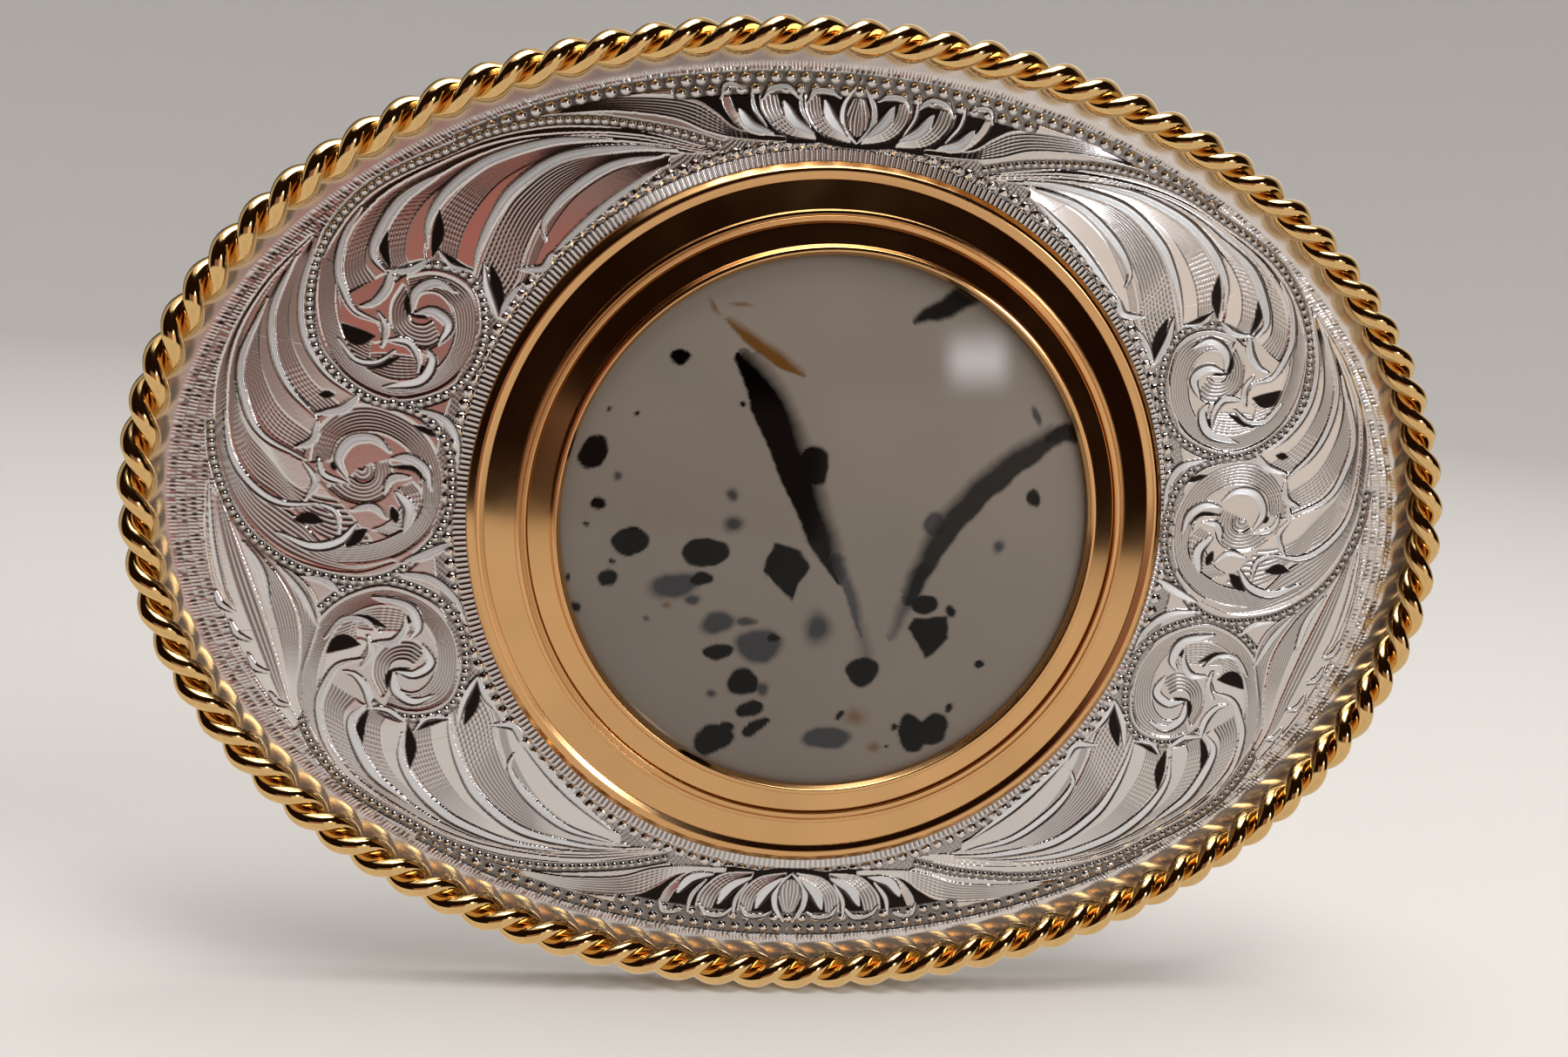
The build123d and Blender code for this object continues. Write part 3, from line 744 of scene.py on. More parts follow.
def make_rope_strand(name, phase):
    """One strand: a round wire whose middle winds right-handed round the rope's middle line.

    The rope's middle is an oval standing a radius in front of the bent face. The strand's
    middle leaves it by the cosine of the twist outwards and the sine forwards, and the
    wire's circle is drawn square to that line.
    """
    around, along, nudge = 20, ROPE_TURNS * 26, 1e-4
    seat, press_in = 0.02, 0.01
    a, b = ROPE_HALF
    dense = np.linspace(0, 2 * math.pi, 8001)
    cx, cz = a * np.sin(dense), b * np.cos(dense)
    cy = bend_y(cx)
    pace = np.sqrt(np.diff(cx)**2 + np.diff(cy)**2 + np.diff(cz)**2)
    run = np.concatenate([[0], np.cumsum(pace)])
    s = np.linspace(0, run[-1], along, endpoint=False)
    turn = np.interp(s, run, dense)[:, None]
    radius = ROPE_DIAMETER / 4

    def middle(t):
        """Points of the rope's middle line at turns t."""
        x = a * np.sin(t)
        return np.concatenate([x, bend_y(x) - ROPE_DIAMETER / 2 + seat, b * np.cos(t)], 1)

    def unit(vector):
        """Vectors of the same directions and length 1."""
        return vector / np.linalg.norm(vector, axis=1)[:, None]

    tangent = unit(middle(turn + nudge) - middle(turn - nudge))
    front = np.array([[0.0, -1.0, 0.0]]) - tangent * (-tangent[:, 1:2])
    front = unit(front)
    out = unit(np.cross(front, tangent))
    twist = (-2 * math.pi * ROPE_TURNS * s / run[-1] + phase)[:, None]
    line = middle(turn) + (radius - press_in) * (np.cos(twist) * out + np.sin(twist) * front)
    along_line = unit(np.roll(line, -1, 0) - np.roll(line, 1, 0))
    side = unit(np.cos(twist) * out + np.sin(twist) * front)
    side = unit(side - along_line * np.sum(side * along_line, 1)[:, None])
    other = np.cross(along_line, side)
    angle = np.linspace(0, 2 * math.pi, around, endpoint=False)[None, :, None]
    points = line[:, None] + radius * (np.cos(angle) * side[:, None] + np.sin(angle) * other[:, None])
    return make_piece(name, points.reshape(-1, 3), [grid_quads(along, around, True, True)])


def make_bezel_ring():
    """Outer ring: rounded rim, sloping band and double ridge, seated on the bent plate.

    Corners are radii and depths, the depths counted from the face's most forward one.
    """
    top, play = FACE_Y, 0.03
    inner, outer = COLLET_RADIUS + play, BEZEL_RADIUS
    ridge, rim = inner + 0.8, outer - 1.25
    corners = [(inner, top + 0.5), (inner, top - 2.1), (ridge - 0.42, top - 2.12),
               (ridge - 0.36, top - 1.98), (ridge - 0.3, top - 2.12), (ridge, top - 2.05),
               (ridge, top - 1.8), (rim, top - 0.95), (rim, top - 1.0),
               (rim + 0.62, top - 1.25), (outer, top - 0.7), (outer, top + 0.5)]
    radii = [0, 0.12, 0.05, 0.03, 0.05, 0.12, 0.05, 0.015, 0.015, 0.5, 0.3, 0]
    profile = rounded(corners, radii)
    piece = lathe("bezel_stepped_ring", profile)
    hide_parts("bezel_ring")
    return piece


def make_bezel_collet():
    """Inner ring: a sloping band up to the thin raised lip that closes over the stone.

    Corners are radii and depths, the depths counted from the face's most forward one.
    """
    top, play, lip_cover = FACE_Y, 0.05, 0.94
    opening, outer = STONE_RADIUS - lip_cover, COLLET_RADIUS
    bore = STONE_RADIUS + play
    corners = [(bore, top + 0.4), (bore, top - 2.03), (opening, top - 2.29), (opening + 0.02, top - 2.7),
               (opening + 0.3, top - 3.1), (opening + 0.6, top - 3.05), (opening + 0.75, top - 2.45),
               (outer, top - 1.9), (outer, top + 0.4)]
    radii = [0, 0.02, 0.02, 0.15, 0.14, 0.14, 0.06, 0.1, 0]
    piece = lathe("bezel_lip_collet", rounded(corners, radii))
    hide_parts("bezel_collet")
    return piece


def make_stone():
    """Low dome over an upright girdle, its inclusions held as values on its points.

    The dome is part of a sphere whose radius is half the stone's radius squared plus the
    dome's height squared, over that height. Rings crowd outwards by a power of 0.85.
    """
    around, out, girdle, bevel = 600, 150, 1.2, 0.2
    dome = stone_high[1] - girdle
    rise = dome - stone_low[1]
    dome_radius = (STONE_RADIUS**2 + rise**2) / (2 * rise)
    radius = STONE_RADIUS * np.linspace(0, 1, out)[1:] ** 0.85
    y = stone_low[1] + dome_radius - np.sqrt(dome_radius**2 - radius**2)
    radius = np.concatenate([radius, [STONE_RADIUS, STONE_RADIUS, STONE_RADIUS - bevel]])
    y = np.concatenate([y, [dome + girdle / 2, stone_high[1] - bevel, stone_high[1]]])
    turn = np.linspace(0, 2 * math.pi, around, endpoint=False)[:, None]
    x, z = radius[None] * np.sin(turn), radius[None] * np.cos(turn)
    points = np.stack([x, np.repeat(y[None], around, 0), z], -1).reshape(-1, 3)
    columns = len(radius)
    points = np.concatenate([points, [[0, stone_low[1], 0]]])
    first = np.arange(around) * columns
    tip = np.stack([np.full(around, len(points) - 1), first, np.roll(first, -1)], 1)
    sides = grid_quads(around, columns, True, False)
    faces = [sides[:, ::-1], tip[:, ::-1], (first + columns - 1)[None]]
    piece = make_piece("agate_cabochon", points, faces)
    paint_stone(piece, points)
    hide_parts("cabochon")
    return piece


def spot(x, z, centre, size, turn, soft, ragged, seed=0.0):
    """1 inside an oval spot with a wavering edge, 0 outside, soft by a share of its size.

    The edge wavers by three sines of the bearing about the centre. The value is a straight
    fall across the soft edge, to the power 1.5.
    """
    c, s = math.cos(math.radians(turn)), math.sin(math.radians(turn))
    u, v = (x - centre[0]), (z - centre[1])
    u, v = (u * c + v * s) / (size[0] / 2), (-u * s + v * c) / (size[1] / 2)
    bearing = np.arctan2(v, u)
    waver = np.sin(2 * bearing + seed) + 0.7 * np.sin(3 * bearing + 2 * seed)
    edge = 1 + 0.5 * ragged * (waver + 0.3 * np.sin(5 * bearing))
    r = np.hypot(u, v) / edge
    return np.clip((1 + soft - r) / (2 * soft), 0, 1) ** 1.5


def streak(x, z, points, widths, soft_left, soft_right):
    """1 inside a band along a curve, its two edges soft by their own distances in mm.

    The value falls straight from 1 to 0 with the distance to the curve's nearest sample,
    across a soft edge to each side of half the width there.
    """
    c, s = smooth_curve(points, count=120)
    n = normals(c)
    wide = np.interp(s / s[-1], np.linspace(0, 1, len(widths)), widths) / 2
    best = np.full(x.shape, 1e9)
    near = np.zeros(x.shape, int)
    for k, point in enumerate(c):
        distance = np.hypot(x - point[0], z - point[1])
        closer = distance < best
        best = np.where(closer, distance, best)
        near = np.where(closer, k, near)
    side = (x - c[near, 0]) * n[near, 0] + (z - c[near, 1]) * n[near, 1]
    soft = np.where(side > 0, soft_left, soft_right)
    ends = (near > 0) & (near < len(c) - 1)
    return np.clip((wide[near] + soft - best) / (2 * soft), 0, 1) * np.where(ends, 1, best < wide[near])


BLACK_SPOTS = [  # centre, size, turn, softness, raggedness
    ((-11.6, 11.3), (1.3, 1.2), 0, 0.1, 0.12), ((-17.1, 4.3), (1.9, 2.5), -35, 0.06, 0.03),
    ((-16.6, 0.8), (1.2, 0.9), 20, 0.1, 0.05), ((-17.2, -0.8), (0.5, 0.4), 20, 0.2, 0.1),
    ((-14.2, -1.7), (2.6, 2.0), 10, 0.06, 0.04), ((-15.5, -4.5), (1.4, 1.2), 0, 0.1, 0.08),
    ((-15.4, -3.3), (0.5, 0.4), 0, 0.3, 0.1), ((-9.0, -2.1), (3.2, 2.2), 8, 0.06, 0.06),
    ((-9.1, -4.0), (1.6, 1.0), 8, 0.12, 0.08), ((-7.5, -9.2), (2.1, 1.2), 5, 0.1, 0.05),
    ((-3.7, -8.0), (0.9, 0.6), 0, 0.2, 0.05), ((-5.5, -11.4), (2.6, 1.9), 0, 0.1, 0.14),
    ((-4.8, -13.4), (2.0, 1.2), 10, 0.08, 0.08), ((-4.3, -14.8), (2.2, 1.0), 30, 0.1, 0.16),
    ((-7.2, -15.9), (2.8, 2.4), 20, 0.08, 0.16), ((-6.3, -14.8), (1.0, 0.8), 0, 0.2, 0.2),
    ((3.0, -10.2), (2.5, 2.2), 10, 0.08, 0.1), ((7.4, -14.9), (2.2, 3.2), 20, 0.06, 0.12),
    ((9.0, -14.6), (2.6, 2.4), 0, 0.08, 0.14), ((9.9, -12.8), (0.6, 0.9), 0, 0.2, 0.2),
    ((11.9, -9.4), (0.8, 0.7), 0, 0.1, 0.06), ((14.6, 2.9), (1.2, 1.4), 0, 0.12, 0.12),
    ((7.0, -5.0), (2.2, 1.4), 0, 0.1, 0.06), ((9.1, -5.5), (0.9, 1.0), 0, 0.25, 0.1),
    ((1.7, -13.6), (0.5, 0.8), -40, 0.2, 0.2), ((-14.3, 7.1), (0.35, 0.35), 0, 0.3, 0.0),
    ((-16.2, 7.4), (0.35, 0.35), 0, 0.3, 0.0), ((-7.1, 8.4), (0.4, 0.4), 0, 0.3, 0.0),
    ((-17.5, -6.8), (0.7, 0.8), 0, 0.2, 0.2), ((6.0, -14.5), (0.5, 0.6), 0, 0.2, 0.1),
    ((5.5, -15.9), (0.4, 0.3), 0, 0.3, 0.0), ((-18.3, -4.7), (0.3, 0.6), 0, 0.3, 0.1),
]
GREY_SPOTS = [
    ((-10.9, -4.6), (3.8, 1.9), 12, 0.25, 0.12), ((-7.7, -7.1), (2.6, 1.7), 10, 0.25, 0.08),
    ((-5.8, -6.8), (1.4, 0.7), 0, 0.4, 0.05), ((-4.7, -8.6), (3.5, 2.6), 5, 0.2, 0.06),
    ((-0.6, -7.1), (1.9, 2.4), 0, 0.5, 0.08), ((-7.4, 2.1), (0.9, 1.0), 0, 0.5, 0.05),
    ((-7.2, 0), (1.3, 1.2), 0, 0.5, 0.05), ((-15.4, 2.7), (0.6, 0.7), 0, 0.5, 0.0),
    ((1.0, -15.4), (3.6, 1.9), 3, 0.15, 0.1), ((12.3, -0.7), (0.9, 1.0), 0, 0.5, 0.0),
    ((-7.6, -12.4), (0.7, 0.6), 0, 0.5, 0.0), ((-12.7, -7.1), (0.5, 0.4), 0, 0.5, 0.0),
    ((7.1, 0.9), (1.7, 1.8), 0, 0.2, 0.06), ((14.3, 8.8), (0.6, 1.6), 30, 0.3, 0.1),
    ((-9.6, -5.5), (1.2, 0.8), 0, 0.4, 0.1), ((-4.0, -11.8), (0.9, 1.2), 0, 0.4, 0.0),
]
AMBER_SPOTS = [
    ((-9.5, 14.9), (0.35, 1.3), 30, 0.4, 0.1), ((2.9, -13.7), (1.6, 1.4), 0, 0.7, 0.1),
    ((-11.4, -6.1), (0.6, 0.5), 0, 0.5, 0.1), ((-5.2, -6.8), (0.6, 0.3), 0, 0.5, 0.1),
    ((-7.6, 15.1), (1.6, 0.3), 5, 0.6, 0.1), ((4.6, -16), (1.0, 0.8), 0, 0.6, 0.1),
]


def diamond(x, z, corners, soft=0.08):
    """1 inside a convex outline given as corners turning the same way.

    The value falls straight across the soft edge with the distance inside the nearest side.
    """
    corners = np.asarray(corners, dtype=float)
    following = np.roll(corners, -1, 0)
    inside = np.full(x.shape, 1e9)
    for a, b in zip(corners, following):
        edge = (b - a) / np.linalg.norm(b - a)
        inside = np.minimum(inside, edge[0] * (z - a[1]) - edge[1] * (x - a[0]))
    return np.clip((inside + soft) / (2 * soft), 0, 1)


BLACK_SHARDS = [  # corners, all turning the same way
    [(-4.9, -3.1), (-2.7, -5.1), (-1.6, -2.6), (-2.4, -1.5), (-4.3, -1.1)],
    [(6, -6.9), (7.6, -9.1), (9.2, -7.6), (8.8, -5.9), (6.4, -6)],
]
STREAKS = [  # tone, strength, points, widths, softness to the left and to the right
    ("moss", 1.0, [(-7.3, 11.6), (-5.4, 8.7), (-3.4, 4.6), (-1.3, 0.2), (0.6, -3.7)],
     (1.2, 2.6, 2.5, 2.2, 1.9, 0.5), 0.6, 0.07),
    ("moss", 1.0, [(18.2, 7.6), (16.8, 7.8), (15.4, 7.2)], (1.2, 1.4, 0.9), 0.15, 0.15),
    ("moss", 0.95, [(16.2, 7.6), (12.6, 5.2), (9.6, 2.4), (7.4, -0.8), (5.8, -4.6)],
     (1.3, 1.9, 2.0, 1.7, 1.2), 0.12, 0.45),
    ("moss", 0.95, [(9.2, 17.4), (7.4, 16.3), (5.8, 15.5), (4.6, 14.8)],
     (1.6, 1.6, 1.3, 0.3), 0.15, 0.15),
    ("deep_moss", 0.8, [(0.3, -2), (1.5, -4.6), (2.7, -7.6)], (0.9, 0.8, 0.3), 0.3, 0.1),
    ("deep_moss", 0.45, [(2.4, -6.6), (3.2, -9.2)], (0.6, 0.9), 0.4, 0.4),
    ("deep_moss", 0.7, [(6.6, -2.6), (5.6, -5.4), (4.8, -7.6)], (1.2, 1.0, 0.4), 0.3, 0.4),
    ("iron_stain", 1.0, [(-8.6, 14.1), (-6.9, 12.8), (-4.6, 11.5), (-3, 10.6)],
     (0.3, 0.9, 1.1, 0.2), 0.3, 0.08),
]


def paint_stone(piece, points):
    """Three tones for each point: black moss, grey moss deeper down, and amber iron stain.

    Each is the largest of its spots, shards and streaks there, after small crossed sines
    have moved the point, so that no edge is drawn too cleanly.
    """
    x, z = points[:, 0], points[:, 2]
    x = (x + 0.07 * np.sin(2.1 * z + 1.3 * x) + 0.025 * np.sin(6.1 * z - 3.3 * x)
         + 0.01 * np.sin(17 * z + 11 * x))
    z = (z + 0.07 * np.sin(1.9 * x + 0.9 * z) + 0.025 * np.sin(5.3 * x + 4.1 * z)
         + 0.01 * np.sin(19 * x - 13 * z))
    tones = {name: np.zeros(len(x)) for name in ("moss", "deep_moss", "iron_stain")}
    for name, strength, spots in (("moss", 1.0, BLACK_SPOTS), ("deep_moss", 0.88, GREY_SPOTS),
                                  ("iron_stain", 0.7, AMBER_SPOTS)):
        for k, (centre, size, turn, soft, ragged) in enumerate(spots):
            dot = strength * spot(x, z, centre, size, turn, soft, ragged, k)
            tones[name] = np.maximum(tones[name], dot)
    tones["moss"] = np.maximum(tones["moss"], spot(x, z, (-1.9, 4.5), (2.2, 3.0), 10, 0.1, 0.05))
    for corners in BLACK_SHARDS:
        tones["moss"] = np.maximum(tones["moss"], diamond(x, z, corners))
    for name, strength, curve, widths, left, right in STREAKS:
        tones[name] = np.maximum(tones[name], strength * streak(x, z, curve, widths, left, right))
    for name, values in tones.items():
        add_attribute(piece, name, values)


# ---------------------------------------------------------------- materials
def linear(colour):
    """An sRGB hex colour as linear light with full alpha."""
    parts = [int(colour[k:k + 2], 16) / 255 for k in (1, 3, 5)]
    return tuple(p / 12.92 if p <= 0.04045 else ((p + 0.055) / 1.055) ** 2.4 for p in parts) + (1.0,)


def add(tree, kind, inputs=None, **settings):
    """Adds a node, sets its own settings, and sets or links its inputs."""
    node = tree.nodes.new(kind)
    for name, value in settings.items():
        setattr(node, name, value)
    for name, value in (inputs or {}).items():
        socket = node.inputs[name]
        if isinstance(value, bpy.types.NodeSocket):
            tree.links.new(value, socket)
        else:
            socket.default_value = value
    return node


def new_material(name):
    """An empty node material with its Principled shader and output."""
    material = bpy.data.materials.new(name)
    material.use_nodes = True
    tree = material.node_tree
    tree.nodes.clear()
    shader = add(tree, "ShaderNodeBsdfPrincipled")
    add(tree, "ShaderNodeOutputMaterial", {"Surface": shader.outputs[0]})
    return material, tree, shader


def engraved_silver():
    """Silver plate on nickel silver, bright cut and oxidised: mirror flats, dark sunk ground.

    The eye gets a soft haze over several millimetres, fine scratches a quarter of one long,
    dark oxide in sunk ground and painted shade on the cuts' steep sides where the attribute
    nears 1, and a painted highlight on the cuts, pale, less metallic and rougher, where it nears -1.
    """
    material, tree, shader = new_material("engraved_silver_plate")
    place = add(tree, "ShaderNodeTexCoord").outputs["Object"]
    tone = add(tree, "ShaderNodeAttribute", attribute_name="oxide_and_painted_light").outputs["Fac"]
    haze = add(tree, "ShaderNodeTexNoise", {"Vector": place, "Scale": 0.16 / MM, "Detail": 3.0})
    mixed = add(tree, "ShaderNodeMix", {"Factor": tone, "A": linear("#e4e0dd"), "B": linear("#2a2421")},
                data_type="RGBA")
    # bright is the share of painted highlight: it pales the colour, roughens the surface and lowers the
    # metallic
    bright = add(tree, "ShaderNodeMath", {0: tone, 1: -1.0}, operation="MULTIPLY",
                 use_clamp=True).outputs[0]
    # painted highlight: the bright cuts are mixed toward this pale colour
    colour = add(tree, "ShaderNodeMix", {"Factor": bright, "A": mixed.outputs["Result"],
                                         "B": linear("#dfe3e7")}, data_type="RGBA")
    tree.links.new(colour.outputs["Result"], shader.inputs["Base Color"])
    rough = add(tree, "ShaderNodeMapRange", {"Value": haze.outputs["Fac"], "To Min": 0.1, "To Max": 0.2})
    sunk = add(tree, "ShaderNodeMath", {0: tone, 1: 0.25}, operation="MULTIPLY", use_clamp=True)
    both = add(tree, "ShaderNodeMath", {0: sunk.outputs[0], 1: rough.outputs[0]}, operation="ADD")
    cut_rough = add(tree, "ShaderNodeMath", {0: bright, 1: 0.22, 2: both.outputs[0]},
                    operation="MULTIPLY_ADD")
    tree.links.new(cut_rough.outputs[0], shader.inputs["Roughness"])
    scratch = add(tree, "ShaderNodeTexNoise", {"Vector": place, "Scale": 4.2 / MM, "Detail": 2.0})
    bump = add(tree, "ShaderNodeBump", {"Height": scratch.outputs["Fac"], "Strength": 0.12,
                                          "Distance": 0.02 * MM})
    tree.links.new(bump.outputs[0], shader.inputs["Normal"])
    metal = add(tree, "ShaderNodeMath", {0: bright, 1: -0.5, 2: 1.0}, operation="MULTIPLY_ADD")
    tree.links.new(metal.outputs[0], shader.inputs["Metallic"])
    return material


def gold_plate(name, colour, low, high):
    """Polished gold plate over jeweller's bronze: bright, with a haze a few millimetres wide."""
    material, tree, shader = new_material(name)
    place = add(tree, "ShaderNodeTexCoord").outputs["Object"]
    haze = add(tree, "ShaderNodeTexNoise", {"Vector": place, "Scale": 0.22 / MM, "Detail": 4.0})
    rough = add(tree, "ShaderNodeMapRange", {"Value": haze.outputs["Fac"], "To Min": low, "To Max": high})
    tree.links.new(rough.outputs[0], shader.inputs["Roughness"])
    bump = add(tree, "ShaderNodeBump", {"Height": haze.outputs["Fac"], "Strength": 0.1,
                                          "Distance": 0.04 * MM})
    tree.links.new(bump.outputs[0], shader.inputs["Normal"])
    shader.inputs["Base Color"].default_value = linear(colour)
    shader.inputs["Metallic"].default_value = 1.0
    return material


def agate():
    """Polished grey-brown chalcedony: clouds two centimetres wide, black and grey moss, iron stain."""
    material, tree, shader = new_material("dendritic_agate_polished")
    place = add(tree, "ShaderNodeTexCoord").outputs["Object"]
    cloud = add(tree, "ShaderNodeTexNoise", {"Vector": place, "Scale": 0.045 / MM, "Detail": 3.0,
                                              "Distortion": 0.6})
    base = add(tree, "ShaderNodeMix", {"Factor": cloud.outputs["Fac"], "A": linear("#7b7269"),
                                       "B": linear("#6a635d")}, data_type="RGBA")
    colour = base.outputs["Result"]
    for name, tint in (("iron_stain", "#573a1a"), ("deep_moss", "#24262d"), ("moss", "#030202")):
        amount = add(tree, "ShaderNodeAttribute", attribute_name=name).outputs["Fac"]
        colour = add(tree, "ShaderNodeMix", {"Factor": amount, "A": colour, "B": linear(tint)},
                     data_type="RGBA").outputs["Result"]
    tree.links.new(colour, shader.inputs["Base Color"])
    shader.inputs["Roughness"].default_value = 0.06
    shader.inputs["IOR"].default_value = 1.54
    shader.inputs["Specular IOR Level"].default_value = 0.22
    return material


def worked_metal(name, colour, low, high, stretch):
    """A soft-sheened metal, its millimetre grain drawn out by a stretch along x, y and z.

    The eye gets brushed, tumbled, drawn or rolled metal with dull patches a centimetre wide.
    """
    material, tree, shader = new_material(name)
    place = add(tree, "ShaderNodeTexCoord").outputs["Object"]
    drawn = add(tree, "ShaderNodeMapping", {"Vector": place, "Scale": stretch}).outputs[0]
    grain = add(tree, "ShaderNodeTexNoise", {"Vector": drawn, "Scale": 0.9 / MM, "Detail": 4.0})
    patches = add(tree, "ShaderNodeTexNoise", {"Vector": place, "Scale": 0.07 / MM, "Detail": 3.0})
    both = add(tree, "ShaderNodeMath", {0: grain.outputs["Fac"], 1: patches.outputs["Fac"]},
               operation="MULTIPLY")
    rough = add(tree, "ShaderNodeMapRange", {"Value": both.outputs[0], "From Max": 0.5, "To Min": low,
                                             "To Max": high})
    tree.links.new(rough.outputs[0], shader.inputs["Roughness"])
    bump = add(tree, "ShaderNodeBump", {"Height": grain.outputs["Fac"], "Strength": 0.35,
                                          "Distance": 0.03 * MM})
    tree.links.new(bump.outputs[0], shader.inputs["Normal"])
    shader.inputs["Base Color"].default_value = linear(colour)
    shader.inputs["Metallic"].default_value = 1.0
    return material


def pale_lining():
    """White card behind the stone: dull and pale, with fibres under a millimetre long."""
    material, tree, shader = new_material("white_card_lining")
    place = add(tree, "ShaderNodeTexCoord").outputs["Object"]
    fibre = add(tree, "ShaderNodeTexNoise", {"Vector": place, "Scale": 1.5 / MM, "Detail": 3.0})
    paper = add(tree, "ShaderNodeMix", {"Factor": fibre.outputs["Fac"], "A": linear("#d6d1c8"),
                                        "B": linear("#e6e3dc")}, data_type="RGBA")
    tree.links.new(paper.outputs["Result"], shader.inputs["Base Color"])
    shader.inputs["Roughness"].default_value = 0.8
    return material


def dress(piece, material):
    """Gives a piece its one material."""
    piece.data.materials.clear()
    piece.data.materials.append(material)


# ---------------------------------------------------------------- stage
def make_floor():
    """A pale bowl of paper: flat under the buckle's lowest point, then curving up all round.

    Its profile of (radius, height) is turned about the upright axis.
    """
    low, flat, curve, wall = rope_low[2] - 0.05, 550.0, 350.0, 500.0
    around, rings = 128, 11
    angle = np.linspace(0, math.pi / 2, 25)
    level = np.linspace(0, flat, rings + 1)[:-1]
    radius = np.concatenate([level, flat + curve * np.sin(angle), [flat + curve]])
    height = low + np.concatenate([np.zeros(rings), curve * (1 - np.cos(angle)), [curve + wall]])
    turn = np.linspace(0, 2 * math.pi, around, endpoint=False)[:, None]
    points = np.stack([radius * np.cos(turn), radius * np.sin(turn), height + 0 * turn], -1).reshape(-1, 3)
    mesh = bpy.data.meshes.new("floor")
    mesh.from_pydata((points * MM).tolist(), [], grid_quads(around, len(radius), True).tolist())
    mesh.polygons.foreach_set("use_smooth", [True] * len(mesh.polygons))
    floor = bpy.data.objects.new("floor", mesh)
    bpy.context.scene.collection.objects.link(floor)
    floor.visible_glossy = False
    material, tree, shader = new_material("pale_paper")
    shader.inputs["Base Color"].default_value = linear("#c6c5c4")
    shader.inputs["Roughness"].default_value = 0.9
    mesh.materials.append(material)


def make_world():
    """A room by bearing and height: dark and warm ahead, a pale table below, a window side."""
    world = bpy.data.worlds.new("room")
    bpy.context.scene.world = world
    world.use_nodes = True
    tree = world.node_tree
    tree.nodes.clear()
    way = add(tree, "ShaderNodeTexCoord").outputs["Generated"]
    axes = add(tree, "ShaderNodeSeparateXYZ", {0: way})
    forward = add(tree, "ShaderNodeMath", {0: axes.outputs["Y"], 1: -1.0}, operation="MULTIPLY")
    bearing = add(tree, "ShaderNodeMath", {0: axes.outputs["X"], 1: forward.outputs[0]},
                  operation="ARCTAN2").outputs[0]
    up = axes.outputs["Z"]

    def patch(left, right, low, high, soft):
        """1 inside a window of bearings, in degrees, and heights of the unit sphere.

        It is the product of a smooth step at each of the window's four sides.
        """
        left, right, edge = (math.radians(v) for v in (left, right, 40 * soft))
        amount = 1.0
        for value, start, end in ((bearing, left - edge, left + edge),
        (bearing, right + edge, right - edge),
                                  (up, low - soft, low + soft), (up, high + soft, high - soft)):
            side = add(tree, "ShaderNodeMapRange", {"Value": value, "From Min": start, "From Max": end},
                       interpolation_type="SMOOTHSTEP").outputs[0]
            amount = add(tree, "ShaderNodeMath", {0: amount, 1: side}, operation="MULTIPLY").outputs[0]
        return amount

    folds = add(tree, "ShaderNodeTexNoise", {"Vector": way, "Scale": 3.5, "Detail": 3.0, "Distortion": 0.8})
    cloth = add(tree, "ShaderNodeMix", {"Factor": folds.outputs["Fac"], "A": linear("#b4aaa0"),
                                        "B": linear("#f8f3ee")}, data_type="RGBA").outputs["Result"]
    window_light = 16
    colour = linear("#bdb7b0")
    for amount, tint in (
            (patch(-95, 100, -2.0, 2.0, 0.25), "#1c110b"),
            (patch(-34, 9, -0.3, 0.13, 0.05), "#8d766e"),
            (patch(-14, -5, -0.3, 0.13, 0.015), "#b0685a"),
            (patch(10, 46, -0.3, 0.16, 0.06), "#e9dbcf"),
            (patch(-180, 180, -2.0, -0.185, 0.012), cloth),
            (patch(27, 35, 0.19, 0.27, 0.05), tuple(window_light * v for v in linear("#fbfaff"))),
            (patch(132, 172, 0.1, 0.6, 0.12), "#ffffff"),
            (patch(-176, -128, -0.1, 0.8, 0.2), "#5d5751"),
            (patch(-180, 180, 0.86, 2.0, 0.04), "#fffaf4")):
        tint = linear(tint) if isinstance(tint, str) else tint
        colour = add(tree, "ShaderNodeMix", {"Factor": amount, "A": colour, "B": tint},
                     data_type="RGBA").outputs["Result"]
    light = add(tree, "ShaderNodeBackground", {"Color": colour, "Strength": 1.0})
    add(tree, "ShaderNodeOutputWorld", {"Surface": light.outputs[0]})


def make_lamp(name, place, size, power, colour, mirrored=True):
    """A soft lamp of a width and height in metres, aimed at the buckle, seen in metal if mirrored."""
    data = bpy.data.lights.new(name, "AREA")
    data.shape = "RECTANGLE"
    data.size, data.size_y = size
    data.energy = power
    data.color = linear(colour)[:3]
    lamp = bpy.data.objects.new(name, data)
    lamp.location = place
    lamp.rotation_euler = (-Vector(place)).to_track_quat("-Z", "Y").to_euler()
    lamp.visible_glossy = mirrored
    bpy.context.scene.collection.objects.link(lamp)


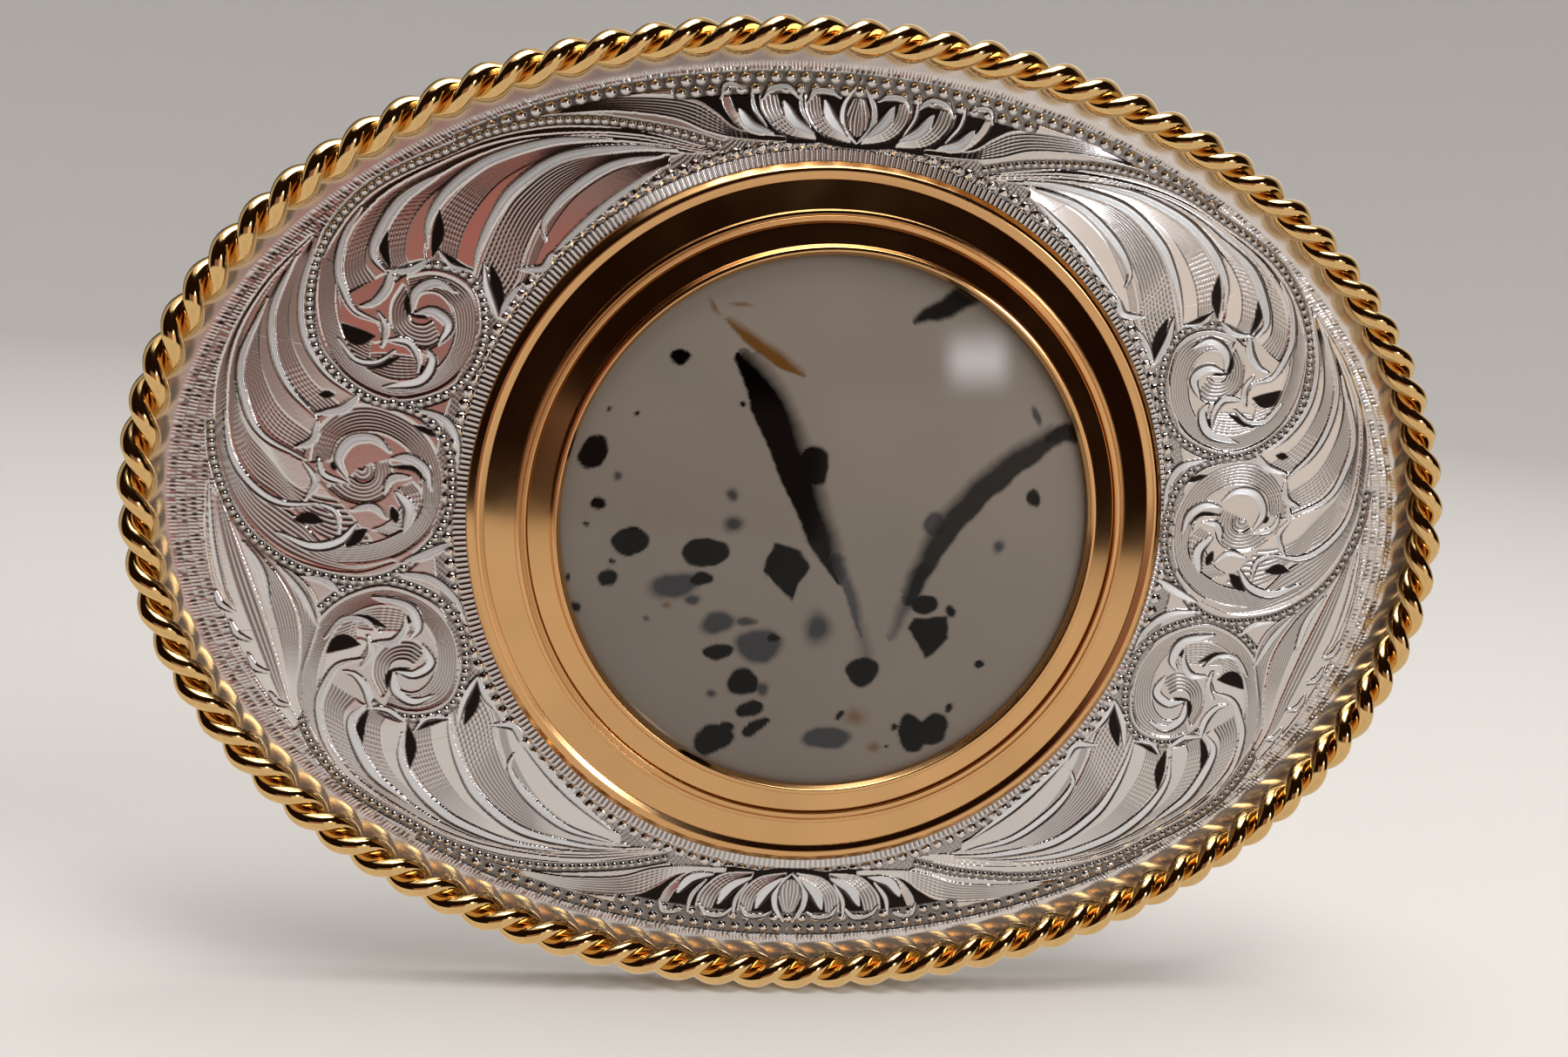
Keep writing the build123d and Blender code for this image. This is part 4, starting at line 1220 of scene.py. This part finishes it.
def make_camera():
    """A close camera a little to the left and above, tipped to its side by a few degrees."""
    azimuth, elevation, roll = (math.radians(v) for v in (-10.76, 9.18, 4.85))
    distance, right_shift, up_shift = 135.2, 2.824, 0.603
    back = Vector((math.sin(azimuth) * math.cos(elevation), -math.cos(azimuth) * math.cos(elevation),
                   math.sin(elevation)))
    right = (-back).cross(Vector((0, 0, 1))).normalized()
    up = right.cross(-back)
    side = right * math.cos(roll) + up * math.sin(roll)
    top = up * math.cos(roll) - right * math.sin(roll)
    eye = Vector((0, FACE_Y, 0)) + back * distance - side * right_shift - top * up_shift
    data = bpy.data.cameras.new("camera")
    data.sensor_width = 36.0
    data.lens = 42.88
    data.clip_start = 0.01
    data.clip_end = 20.0
    camera = bpy.data.objects.new("camera", data)
    turn = Matrix((side, top, back)).transposed().to_4x4()
    camera.matrix_world = Matrix.Translation(eye * MM) @ turn
    bpy.context.scene.collection.objects.link(camera)
    bpy.context.scene.camera = camera


# ---------------------------------------------------------------- the scene
make_camera()
make_floor()
make_world()
make_lamp("overhead_softbox", (0.05, -0.06, 0.7), (0.5, 0.5), 4.6, "#fffaf5")
make_lamp("front_softbox", (0.35, -0.4, 0.35), (0.4, 0.4), 2.4, "#fffaf5", mirrored=False)
bpy.context.scene.view_settings.view_transform = "Standard"

silver = engraved_silver()
gold = gold_plate("gold_plate_polished", "#e9c385", 0.05, 0.14)
bezel_gold = gold_plate("gold_plate_turned", "#e4b47c", 0.07, 0.22)
back_metal = worked_metal("nickel_silver_brushed", "#c9c4ba", 0.2, 0.42, (0.04, 1.0, 1.0))
nickel = worked_metal("nickel_silver_tumbled", "#bdb8ae", 0.18, 0.36, (1.0, 1.0, 1.0))
wire = worked_metal("steel_wire_drawn", "#b4b2ae", 0.12, 0.28, (0.2, 1.0, 0.2))
brass = worked_metal("brass_raw_rolled", "#c69a55", 0.25, 0.45, (0.1, 1.0, 1.0))

engrave_face()
TILE_BEARINGS = (0, 30, 52, 71, 90, 109, 128, 150, 180, 210, 232, 251, 270, 289, 308, 330, 360)
tile_step = 0.0775
for number, (start, end) in enumerate(zip(TILE_BEARINGS[:-1], TILE_BEARINGS[1:])):
    tile = make_face_tile(f"engraved_face_{number + 1}", start, end, tile_step)
    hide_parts("face_plate")
    dress(tile, silver)

body = make_plate_body()
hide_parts("face_plate")
dress(body, back_metal)
for name, phase in (("rope_strand_a", 0.0), ("rope_strand_b", math.pi)):
    strand = make_rope_strand(name, phase)
    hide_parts("rope_edge")
    dress(strand, gold)
dress(make_bezel_ring(), bezel_gold)
dress(make_bezel_collet(), bezel_gold)
dress(make_stone(), agate())
for node, material in (("hinge_bracket", nickel), ("bail_loop", wire), ("hook_base", nickel),
                       ("hook_post", nickel), ("seat_disc", brass), ("stone_backing", pale_lining())):
    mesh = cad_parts[node].data
    mesh.materials.clear()
    mesh.materials.append(material)
